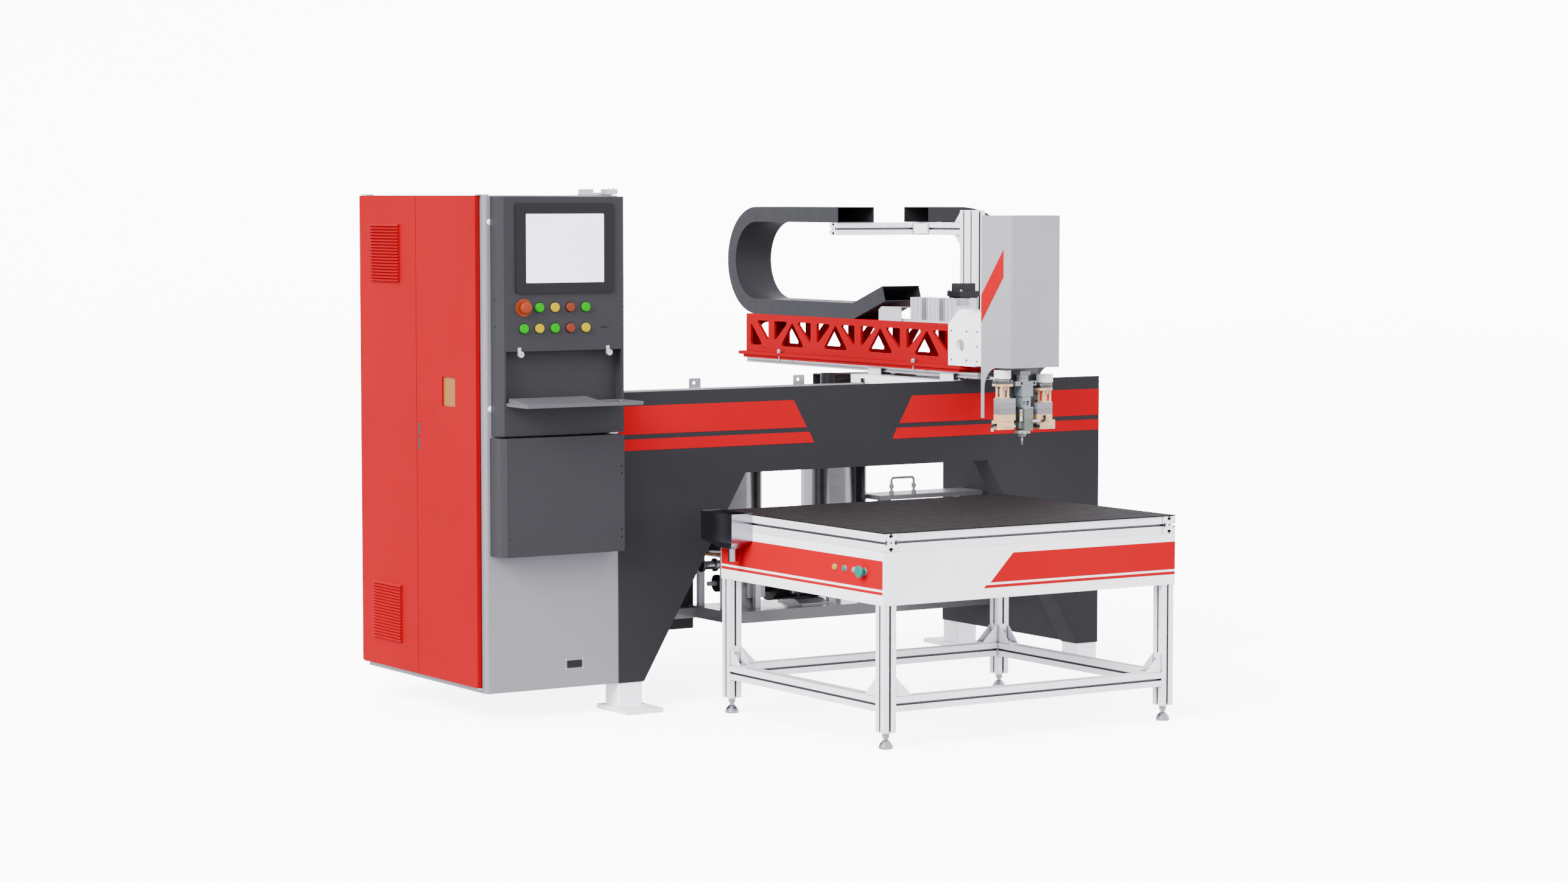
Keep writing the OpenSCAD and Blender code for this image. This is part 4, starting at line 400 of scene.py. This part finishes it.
metal("slotted_profile", (0.86, 0.86, 0.90), 0.42, (60, 60, 1), 8, 0.000003, 0.04, bare=0.2,
      shade_reach=0.018)
metal("rail_steel", (0.40, 0.40, 0.43), 0.24, (1, 40, 40), 20, bare=0.8)
metal("plain_steel", (0.42, 0.42, 0.46), 0.28, (40, 40, 1), 20, bare=0.7)
metal("tank_steel", (0.24, 0.235, 0.245), 0.20, (1, 1, 60), 12, 0.000003, 0.05)
metal("slide_steel", (0.10, 0.10, 0.11), 0.38, (1, 1, 30), 30, bare=0.4)
metal("block_alu", (0.46, 0.465, 0.49), 0.26, (30, 30, 1), 20, bare=0.75)
metal("pump_steel", (0.22, 0.22, 0.24), 0.34, (1, 20, 20), 40, bare=0.4)
metal("heat_grey", (0.22, 0.22, 0.235), 0.36, (1, 30, 30), 20, bare=0.5)
metal("foot_zinc", (0.36, 0.365, 0.39), 0.28, (1, 1, 30), 60)
metal("bright_steel", (0.44, 0.44, 0.46), 0.22, (1, 1, 10), 60, bare=0.6)
metal("cup_steel", (0.33, 0.33, 0.36), 0.16, (1, 1, 30), 30, 0.000002, 0.03)
print("finishes so far:", len(finishes))

# %% [markdown]
# ## Plastic and rubber
# Push buttons are moulded in a smooth coloured plastic, while ducts and latches have a fine
# sandy grain from the mould. The table mat is rubber with a coarse matt skin. The pane of the
# screen and the lit buttons glow from behind, so they also give off light.

# %% Mould the plastics
def plastic(name, colour, rough, grain=600, depth=0.00002, glow=0.0, gloss=0.4):
    """Moulded plastic with a fine grain. glow makes it give off its own colour."""
    made, tree, shader, place = new_finish(name)
    drift = spread(tree, noise(tree, place, 6), 0, 1)
    tree.links.new(mix_colour(tree, drift, shade(colour, 0.96), shade(colour, 1.04)),
                   shader.inputs["Base Color"])
    tree.links.new(spread(tree, noise(tree, place, 25), rough - 0.04, rough + 0.05),
                   shader.inputs["Roughness"])
    relief(tree, shader, noise(tree, place, grain, 2), depth)
    shader.inputs["Specular IOR Level"].default_value = gloss
    if glow:
        shader.inputs["Emission Color"].default_value = (*colour, 1)
        shader.inputs["Emission Strength"].default_value = glow
    finishes[name] = made


plastic("duct_grey", (0.0165, 0.0168, 0.0195), 0.50, 900, 0.00003, gloss=0.13)
plastic("black_plastic", (0.004, 0.004, 0.0045), 0.42, gloss=0.25)
plastic("screen_unit", (0.012, 0.012, 0.014), 0.36, gloss=0.10)
plastic("screen_light", (0.85, 0.85, 1.0), 0.25, glow=1.0, gloss=0.2)
plastic("key_grey", (0.070, 0.070, 0.079), 0.42, gloss=0.2)
plastic("orange_plastic", (0.20, 0.025, 0.006), 0.38, gloss=0.15)
plastic("green_button", (0.0, 0.22, 0.0), 0.34, glow=0.5, gloss=0.01)
plastic("yellow_button", (0.30, 0.22, 0.0), 0.34, glow=0.5, gloss=0.01)
plastic("brown_red_button", (0.14, 0.020, 0.007), 0.34, gloss=0.15)
plastic("turquoise", (0.0, 0.14, 0.105), 0.30, gloss=0.2)
plastic("pale_button", (0.17, 0.21, 0.235), 0.30, gloss=0.3)
plastic("amber_window", (0.22, 0.085, 0.012), 0.28, gloss=0.1)
plastic("mat_brown", (0.0085, 0.0072, 0.0078), 0.72, 260, 0.0002, gloss=0.07)
plastic("yellow_ring", (0.28, 0.21, 0.01), 0.35, gloss=0.2)
print("finishes:", len(finishes))

# %% [markdown]
# ## Dressing the solids
# The record of the machine names a material for each solid, and that name picks the finish. A
# few solids need their own: the cup is polished, the cladding is darker than the coat of the
# control boxes, the tray has that coat but is painted paler as painted light, and the red bands
# are a film.

# %% Give each solid its finish
slot_of = {s["node"]: s["material_slot"] for s in frame["record"]["subparts"]}
special = {"catch_cup": "cup_steel", "portal_cladding": "cladding_grey",
           "side_cladding": "cladding_grey", "keyboard_tray": "tray_lit_grey"}
for name, solid in nodes.items():
    finish = special.get(name, slot_of[name])
    if name.endswith("stripes") or name == "cover_stripe":
        finish = "red_film"
    solid.data.materials.clear()
    solid.data.materials.append(finishes[finish])
print("dressed:", len(nodes), "solids")

# %% [markdown]
# ## The floor's finish
# The floor is matt white and gives off a little light of its own, so that it stays white right up
# to the machine while the soft shadows still show on it.

# %% Finish the floor
made, tree, shader, place = new_finish("floor_white")
tree.links.new(mix_colour(tree, spread(tree, noise(tree, place, 0.6), 0, 1),
                          (0.93, 0.93, 0.955), (0.95, 0.95, 0.97)), shader.inputs["Base Color"])
shader.inputs["Roughness"].default_value = 0.6
shader.inputs["Specular IOR Level"].default_value = 0.1
shader.inputs["Emission Color"].default_value = (1, 1, 1, 1)
shader.inputs["Emission Strength"].default_value = 6.0
floor.data.materials.append(made)
print("floor finish:", made.name)

# %% [markdown]
# ## Shapes for the small parts
# Screws, nuts, rings and pipe fittings are all turned parts, so most of the small parts can
# come from one helper that spins a line of radii and heights about an axis. A ring of the line
# can be six-sided instead of round, which gives the hexagon in a screw head or a nut. A second
# helper pushes a flat outline out into a slab, and a third sweeps a round tube along a path.
# Each helper returns points and faces, and many shapes are joined into one piece.

# %% Helpers for shapes
def turned(rings, place, axis=(0, 0, 1), steps=24):
    """Rings of (radius, height) or (radius, height, 6) in mm, spun about an axis at a place."""
    turn = Matrix.Translation(place) @ Vector(axis).to_track_quat("Z", "Y").to_matrix().to_4x4()
    points, rows, faces = [], [], []
    for radius, height, *six in rings:
        if radius == 0:
            rows.append([len(points)] * steps)
            points.append(turn @ Vector((0, 0, height / 1000)))
            continue
        rows.append(list(range(len(points), len(points) + steps)))
        for i in range(steps):
            a = 2 * pi * i / steps
            r = radius / cos(a % (pi / 3) - pi / 6) if six else radius
            points.append(turn @ Vector((r * cos(a) / 1000, r * sin(a) / 1000, height / 1000)))
    for below, above in zip(rows, rows[1:]):
        for i in range(steps):
            j = (i + 1) % steps
            corners = [below[i], below[j], above[j], above[i]]
            faces.append(tuple(dict.fromkeys(corners)))
    return points, faces


def slab(outline, start, end, axis):
    """A flat outline in mm, pushed out from start to end along x, y or z."""
    order = {"x": lambda u, v, t: mm(t, u, v), "y": lambda u, v, t: mm(u, t, v),
             "z": lambda u, v, t: mm(u, v, t)}[axis]
    n = len(outline)
    points = [order(u, v, t) for t in (start, end) for u, v in outline]
    faces = [tuple(range(n)), tuple(range(2 * n - 1, n - 1, -1))]
    faces += [(i, (i + 1) % n, n + (i + 1) % n, n + i) for i in range(n)]
    return points, faces


def soft_corners(x0, y0, x1, y1, r, steps=4):
    """A rectangle with rounded corners as an outline."""
    line = []
    for cx, cy, a in ((x1 - r, y1 - r, 0), (x0 + r, y1 - r, 90), (x0 + r, y0 + r, 180),
                      (x1 - r, y0 + r, 270)):
        line += [(cx + r * cos(radians(a + 90 * k / steps)),
                  cy + r * sin(radians(a + 90 * k / steps))) for k in range(steps + 1)]
    return line


def tube(path, radius, steps=14):
    """A round tube in mm along points that lie in one plane."""
    path = [Vector(p) for p in path]
    first, last = path[1] - path[0], path[-1] - path[-2]
    flat = first.cross(last)
    if flat.length < 1e-6:
        flat = first.orthogonal()
    flat.normalize()
    points, faces = [], []
    for i, p in enumerate(path):
        along = (path[min(i + 1, len(path) - 1)] - path[max(i - 1, 0)]).normalized()
        up = along.cross(flat)
        points += [mm(*(p + radius * (cos(2 * pi * k / steps) * flat
                                      + sin(2 * pi * k / steps) * up))) for k in range(steps)]
    for i in range(len(path) - 1):
        a, b = i * steps, (i + 1) * steps
        faces += [(a + k, a + (k + 1) % steps, b + (k + 1) % steps, b + k) for k in range(steps)]
    end = (len(path) - 1) * steps
    faces += [tuple(range(steps)), tuple(range(end + steps - 1, end - 1, -1))]
    return points, faces


def elbow_path(start, out, turn, reach, bend, drop):
    """Points that run out from start, turn through a quarter circle and run on."""
    start, out, turn = Vector(start), Vector(out), Vector(turn)
    centre = start + out * (reach - bend) + turn * bend
    arc = [centre - turn * bend * cos(pi / 2 * k / 6) + out * bend * sin(pi / 2 * k / 6)
           for k in range(7)]
    return [start] + arc + [arc[-1] + turn * drop]


def fitted(name, body, finish, shapes, sharp=32, soften=0.0):
    """Joins shapes into one piece with a finish, and lets it ride on a body."""
    points, faces = [], []
    for shape_points, shape_faces in shapes:
        base = len(points)
        points += shape_points
        faces += [tuple(base + i for i in face) for face in shape_faces]
    mesh = bpy.data.meshes.new(name)
    mesh.from_pydata(points, [], faces)
    work = bmesh.new()
    work.from_mesh(mesh)
    bmesh.ops.recalc_face_normals(work, faces=work.faces)
    work.to_mesh(mesh)
    work.free()
    for face in mesh.polygons:
        face.use_smooth = True
    mesh.set_sharp_from_angle(angle=radians(sharp))
    piece = bpy.data.objects.new(name, mesh)
    bpy.context.scene.collection.objects.link(piece)
    mesh.materials.append(finishes[finish])
    if soften:
        edge = piece.modifiers.new("soft_edges", "BEVEL")
        edge.width, edge.segments, edge.limit_method = soften / 1000, 2, "ANGLE"
        edge.angle_limit = radians(40)
    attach(piece, body)


def socket_screw(x, y, z, axis, size):
    """The head of a cap screw with its hexagon socket."""
    r, h, s = size * 0.76, size * 0.9, size * 0.42
    return turned([(0, 0), (r, 0), (r, h * 0.85), (r * 0.9, h), (s, h, 6), (s * 0.97, h * 0.4, 6),
                   (0, h * 0.35)], mm(x, y, z), axis)


def nut(x, y, z, axis, flats, height, stud=0.0):
    """A hexagon nut with the end of its stud. flats is half the width over the flats."""
    s = flats * 0.55
    return turned([(0, 0), (flats * 0.94, 0), (flats, height * 0.12, 6),
                   (flats, height * 0.85, 6), (flats * 0.93, height), (s, height),
                   (s, height + stud), (s * 0.8, height + stud + 0.6), (0, height + stud + 0.6)],
                  mm(x, y, z), axis)


def ring(x, y, z, axis, inner, outer, height):
    """A flat ring with softly broken edges."""
    return turned([(inner, 0), (outer, 0), (outer, height - 0.4), (outer - 0.4, height),
                   (inner + 0.4, height), (inner, height - 0.4), (inner, 0)],
                  mm(x, y, z), axis)


print("shapes ready")

# %% [markdown]
# ## The control panel
# The screen of the real panel is a white picture behind clear plastic. It could be painted on
# the unit's face, but a real pane sits in a shallow recess and its edge shows, so it is a thin
# slab with rounded corners. Each push button sits in a black ring, and a data socket with its
# tongue lies at the end of the lower row.

# %% Fit the screen and the panel parts
panel_y = 1156.7
button_x, button_top, pitch_x, pitch_z = -746, 1465, 62, 73
fitted("screen_pane", "upper_box", "screen_light",
       [slab(soft_corners(-737.4, 1551.6, -424.6, 1793.4, 3), 1150.6, 1151.65, "y")])
socket_x, socket_z = -420.0, 1392.0
fitted("data_socket", "upper_box", "black_plastic",
       [slab(soft_corners(socket_x - 6.6, socket_z - 2.6, socket_x + 6.6, socket_z + 3.6, 0.6),
             panel_y + 1.2, panel_y + 2.8, "y"),
        slab([(socket_x - 5, socket_z - 0.9), (socket_x + 5, socket_z - 0.9),
              (socket_x + 5, socket_z + 1.1), (socket_x - 5, socket_z + 1.1)],
             panel_y + 0.2, panel_y + 1.2, "y")])
fitted("panel_screws", "upper_box", "black_plastic",
       [turned([(0, 0), (3, 0), (3, 0.9), (2.2, 1.6), (0.9, 1.7), (0.9, 0.8), (0, 0.8)],
               mm(socket_x + s * 13, panel_y, socket_z), (0, -1, 0), 16) for s in (-1, 1)])
fitted("tray_screws", "tray", "bright_steel",
       [turned([(0, 0), (3.4, 0), (3.4, 1.0), (2.6, 1.8), (1.4, 1.8, 6), (1.3, 0.8, 6), (0, 0.8)],
               mm(x, 1158, 1127.5), (s, 0, 0)) for x, s in ((-354.2, -1), (-811.8, 1))])
fitted("button_ring", "upper_box", "black_plastic",
       [ring(button_x + i * pitch_x, panel_y, button_top - j * pitch_z, (0, -1, 0), 17.2, 19.4, 1.6)
        for i in range(5) for j in range(2) if i + j])
print("panel parts: screen, socket, screws, rings")

# %% [markdown]
# ## The cabinet
# Two white plugs close unused holes of the cabinet front, half hidden by the control box. Low
# down, a black gland plate lets the supply cable in. A plug is only a thin disc here, because
# the box leaves hardly any room in front of it.

# %% Fit the cabinet parts
gland_x, gland_z, front_y = -509.0, 186.0, 1224.0
fitted("hole_plugs", "machine", "panel_white",
       [turned([(0, 0), (11, 0), (10.6, 0.2), (0, 0.22)], mm(-842, front_y, z), (0, -1, 0))
        for z in (1765, 1110)])
fitted("gland_plate", "machine", "black_plastic",
       [slab(soft_corners(gland_x - 30, gland_z - 13, gland_x + 30, gland_z + 13, 2),
             front_y + 0.5, front_y + 1.4, "y"),
        slab(soft_corners(gland_x - 15, gland_z - 1, gland_x + 15, gland_z + 11, 3),
             front_y - 1.5, front_y + 0.6, "y")], soften=0.4)
fitted("gland_screws", "machine", "bright_steel",
       [turned([(0, 0), (4, 0), (4, 1.2), (3, 2.2), (1.4, 2.2, 6), (1.3, 1, 6), (0, 1)],
               mm(gland_x + x, front_y, gland_z + z), (0, -1, 0))
        for x in (-36, 36) for z in (-16, 16)])
print("cabinet parts: plugs, gland plate")

# %% [markdown]
# ## The long axis
# Rails are screwed down through deep counterbores, and each guide block carries black wiper
# plates at both ends that keep dirt out. The wipers follow the block's outline and leave a
# slot for the rail, so one outline is written once and used for both the portal's and the
# arm's guides, upside down for the arm.

# %% Fit rail screws, carriage screws and wipers
rail_y, rail_foot, rail_pitch, sole = (1286, 1800), 1099, 240, 1186
block_x, arm_block_x, arm_block_y = (1180, 1580), (1185, 1310), (1286, 1777)
block_ends = ((-47, -44), (44, 47))
fitted("rail_screws", "machine", "rail_steel",
       [socket_screw(x, y, rail_foot + 15.2, (0, 0, 1), 6)
        for x in range(-248, 1769, rail_pitch) for y in rail_y])
wiper = [(-22, 9), (-22, 33), (-18, 37), (18, 37), (22, 33), (22, 9), (12.5, 9),
         (12.5, 23.5), (-12.5, 23.5), (-12.5, 9)]
arm_wiper = [(u, sole - min(v, 32)) for u, v in wiper]
shapes = [slab([(y + u, rail_foot + v) for u, v in wiper], x + a, x + b, "x")
          for x in block_x for y in rail_y for a, b in block_ends]
shapes += [slab([(x + u, v) for u, v in arm_wiper], y + a, y + b, "y")
           for x in arm_block_x for y in arm_block_y for a, b in block_ends]
fitted("block_wipers", "carriage", "black_plastic", shapes)
fitted("carriage_screws", "carriage", "plain_steel",
       [socket_screw(x, y, 1143.5, (0, 0, 1), 6) for x in (1136, 1624) for y in (1260, 1852)]
       + [socket_screw(block_x[1] + a, y + b, 1151, (0, 0, 1), 6)
          for a in (-26, 26) for b in (-16, 16) for y in rail_y])
print("long axis: rail screws, wipers, carriage screws")

# %% [markdown]
# ## The arm
# The end plates are bolted to the truss and to the head column. From the side the bolt heads
# look like grey discs in a white plate, because they are sunk. The foot flange is clamped with
# large nuts, and a row of small screws holds the cross plate.

# %% Fit the arm's bolts
shapes = []
for x, s in ((1135.0, -1), (1360.0, 1)):
    shapes += [socket_screw(x - s * 5.5, y, z, (s, 0, 0), 6)
               for y in (1121, 1217) for z in (1234, 1344)]
    shapes += [socket_screw(x - s * 3.4, 1093, z, (s, 0, 0), 3.7)
               for z in (1232, 1288, 1344, 1414)]
    shapes += [socket_screw(x - s * 3.4, 1057, z, (s, 0, 0), 3.7) for z in (1232, 1288, 1344)]
fitted("end_plate_bolts", "arm", "slide_steel", shapes)
fitted("flange_nuts", "arm", "plain_steel",
       [nut(x, y, 1216, (0, 0, 1), 8.6, 9) for x in (1141, 1354) for y in (1479, 2440)])
valve_block_x, valve_block_y = 1210, [1278 + 116 * k for k in range(3)]
fitted("block_screws", "arm", "plain_steel",
       [socket_screw(valve_block_x + a, y + b, 1457.5, (0, 0, 1), 5)
        for y in valve_block_y for a in (-30, 30) for b in (-30, 30)]
       + [ring(valve_block_x, y, 1456.4, (0, 0, 1), 7, 23.5, 2.2) for y in valve_block_y])
drive_x, drive_y = 1438, 1562
fitted("motor_screws", "carriage", "plain_steel",
       [socket_screw(drive_x + a, drive_y + b, 1483, (0, 0, 1), 6)
        for a in (-40, 40) for b in (-40, 40)])
print("arm parts: bolts, nuts, block screws")

# %% [markdown]
# ## The mixing head
# Between the two valves, small air cylinders open and close the mixing chamber. Each has a
# silver barrel, a yellow ring and black push-in elbows for air hoses. They are only a finger
# wide, but the head is what the eye looks for, so each is built from its turned parts.

# %% Fit the head's cylinders and fittings
def barrel(x, y, z, axis, r, length):
    """An air cylinder: end caps, waisted barrel and a polished rim."""
    return turned([(0, 0), (r * 0.8, 0), (r, 1), (r, length * 0.12), (r * 0.92, length * 0.15),
                   (r * 0.92, length * 0.84), (r, length * 0.87), (r, length - 1.2),
                   (r * 0.85, length), (r * 0.45, length), (r * 0.45, length + 2),
                   (0, length + 2)], mm(x, y, z), axis)


fitted("air_cylinders", "head", "bright_steel",
       [barrel(1229.6, 900, 1011, (0, 0, 1), 7.4, 44), barrel(1274, 880, 1012, (1, 0, 0), 6.4, 28),
        turned([(0, 0), (4.5, 0), (4.5, 9), (0, 9)], mm(1274.5, 889, 1012), (0, -1, 0), 16),
        tube([(1098, 903, 992), (1098, 903, 978)], 5.6)], sharp=28)
fitted("yellow_rings", "head", "yellow_ring",
       [ring(1229.6, 900, 1033, (0, 0, 1), 6.6, 7.9, 3.2),
        ring(1302.6, 880, 1012, (1, 0, 0), 4.0, 6.9, 2.6)])
fitted("air_elbows", "head", "black_plastic",
       [tube(elbow_path((1117, 903, 1002), (-1, 0, 0), (0, 0, -1), 19, 7, 4), 5.0),
        tube(elbow_path((1305, 880, 1012), (1, 0, 0), (0, 0, 1), 20, 7, 14), 4.6),
        turned([(0, 0), (5.8, 0), (5.8, 6), (4.6, 7), (0, 7)], mm(1325, 880, 1026), (0, 0, 1), 18),
        tube(elbow_path((1278.4, 902, 993), (1, 0, 0), (0, -1, 0), 15, 6, 12), 5.4),
        turned([(0, 0), (6.6, 0), (6.6, 5), (5, 6), (3, 6), (3, 2), (0, 2)],
               mm(1293.4, 880, 993), (0, -1, 0), 18)])
clamp = [socket_screw(x, 905.6, 1154, (0, -1, 0), 6.4) for x in (1230.5, 1288.5)]
drum = [turned([(0, 0), (2.1, 0), (2.1, 0.5), (0, 0.5)],
               mm(head_x + 22.8 * cos(a), head_y + 22.8 * sin(a), 1174), (cos(a), sin(a), 0), 12)
        for a in [radians(30 * k + 15) for k in range(12)]]
rim = [turned([(0, 0), (2.3, 0), (2.3, 0.6), (1.6, 0.9), (0, 0.9)],
              mm(head_x + 30.9 * cos(a), head_y + 30.9 * sin(a), 971), (cos(a), sin(a), 0), 12)
       for a in [radians(36 * k + 20) for k in range(10)]]
ports = [turned([(0, 0), (2.0, 0), (2.0, 0.3), (0, 0.3)], mm(x, 889.1, 1059), (0, -1, 0), 12)
         for x in (1262, 1271)]
fitted("head_screws", "head", "black_plastic", clamp + drum + rim + ports)
shapes = []
for x, foot, body, s in valves:
    top = foot + 56 + body
    shapes += [nut(x + s * 12, 890.5, top + 42, (0, 0, -1), 3.6, 4, 6)]
    shapes += [turned([(0, 0), (6.4, 0), (6.4, 2), (4.6, 3.2), (2.6, 3.2, 6), (2.5, 1.4, 6),
                       (0, 1.4)], mm(x + 26, 889.3, foot + 11), (0, -1, 0), 18)]
    shapes += [socket_screw(x + a, 901 + b, top + 64.5, (0, 0, 1), 4.4)
               for a, b in ((s * 30, -6), (s * 30, 40), (-s * 17, -6))]
fitted("valve_screws", "head", "bright_steel", shapes)
fitted("slide_screws", "head", "black_plastic",
       [socket_screw(head_x + s * 88, 949.4, 999 + 28 * k, (0, -1, 0), 3.7)
        for s in (-1, 1) for k in range(7)])
print("head parts: cylinders, rings, elbows, screws")

# %% [markdown]
# ## The table
# The lower rails are joined by folded corner brackets with two large screws each, and the feet
# can be turned up and down and locked with a nut. The push buttons on the left panel sit in
# bright collars.

# %% Fit the table's brackets, feet and collars
table_x, table_y, half = (0.0, 1190.0), (0.0, 978.0), 25.0
shapes, nuts = [], []
for i, tx in enumerate(table_x):
    for j, ty in enumerate(table_y):
        for angle in (180 * i, 90 - 180 * j):
            c, s = round(cos(radians(angle))), round(sin(radians(angle)))
            shapes.append(socket_screw(tx + c * (half + 44), ty + s * (half + 44), 179,
                                       (0, 0, 1), 8))
            shapes.append(socket_screw(tx + c * (half + 4), ty + s * (half + 4), 219,
                                       (c, s, 0), 8))
        nuts.append(nut(tx, ty, 36.5, (0, 0, 1), 11.5, 8))
fitted("bracket_screws", "machine", "plain_steel", shapes)
fitted("foot_nuts", "machine", "foot_zinc", nuts)
panel_x, button_z = -28.0, 594.0
fitted("button_collars", "machine", "bright_steel",
       [ring(panel_x, 264 - 60 * k, button_z, (-1, 0, 0), 9.4, 11.0, 5.5) for k in range(3)]
       + [ring(panel_x, 84, button_z, (-1, 0, 0), 11.6, 13.0, 4.0)])
print("table parts: bracket screws, foot nuts, collars")

# %% [markdown]
# ## Tanks and pumps
# The lids are held by swing clamps with a nut each, and the outlet flanges by four bolts. The
# pump motor has a terminal box on its side and a grille over its fan.

# %% Fit the tank and pump parts
tank_x, tank_y, tank_z = (610.0, 1105.0), 1982.0, 466.0
lid_circle, flange_circle = 140, 23
shapes = []
for tx in tank_x:
    for a in (45, 135, 225, 315):
        c, s = cos(radians(a)), sin(radians(a))
        shapes.append(nut(tx + c * lid_circle, tank_y + s * lid_circle, tank_z + 448,
                          (0, 0, 1), 6.5, 7, 6))
        shapes.append(nut(tx + c * flange_circle, tank_y + s * flange_circle, tank_z - 24,
                          (0, 0, -1), 3.6, 4, 2))
fitted("lid_nuts", "machine", "bright_steel", shapes)
motor_y, motor_z, fan_x = 1950.0, 343.0, 1013
fitted("terminal_box", "machine", "motor_black",
       [slab(soft_corners(810, 300, 900, 372, 6), 1842, 1880, "y"),
        slab(soft_corners(806, 296, 904, 376, 8), 1834, 1842, "y"),
        turned([(0, 0), (9, 0), (9, 8, 6), (9, 12, 6), (7, 13), (7, 22), (0, 22)],
               mm(855, 1862, 300), (0, 0, -1))], soften=1.2)
fitted("cover_screws", "machine", "plain_steel",
       [socket_screw(x, 1834, z, (0, -1, 0), 4) for x in (814, 896) for z in (304, 368)])
grille = [turned([(r, 0), (r + 3, 0), (r + 3, 1.6), (r, 1.6), (r, 0)],
                 mm(fan_x, motor_y, motor_z), (1, 0, 0), 40) for r in (14, 26, 38, 50, 62)]
grille += [tube([(fan_x + 1, motor_y + 12 * cos(a), motor_z + 12 * sin(a)),
                 (fan_x + 1, motor_y + 66 * cos(a), motor_z + 66 * sin(a))], 1.2, 8)
           for a in [radians(45 * k) for k in range(8)]]
fitted("fan_grille", "machine", "plain_steel", grille)
print("tank and pump parts: nuts, terminal box, grille")
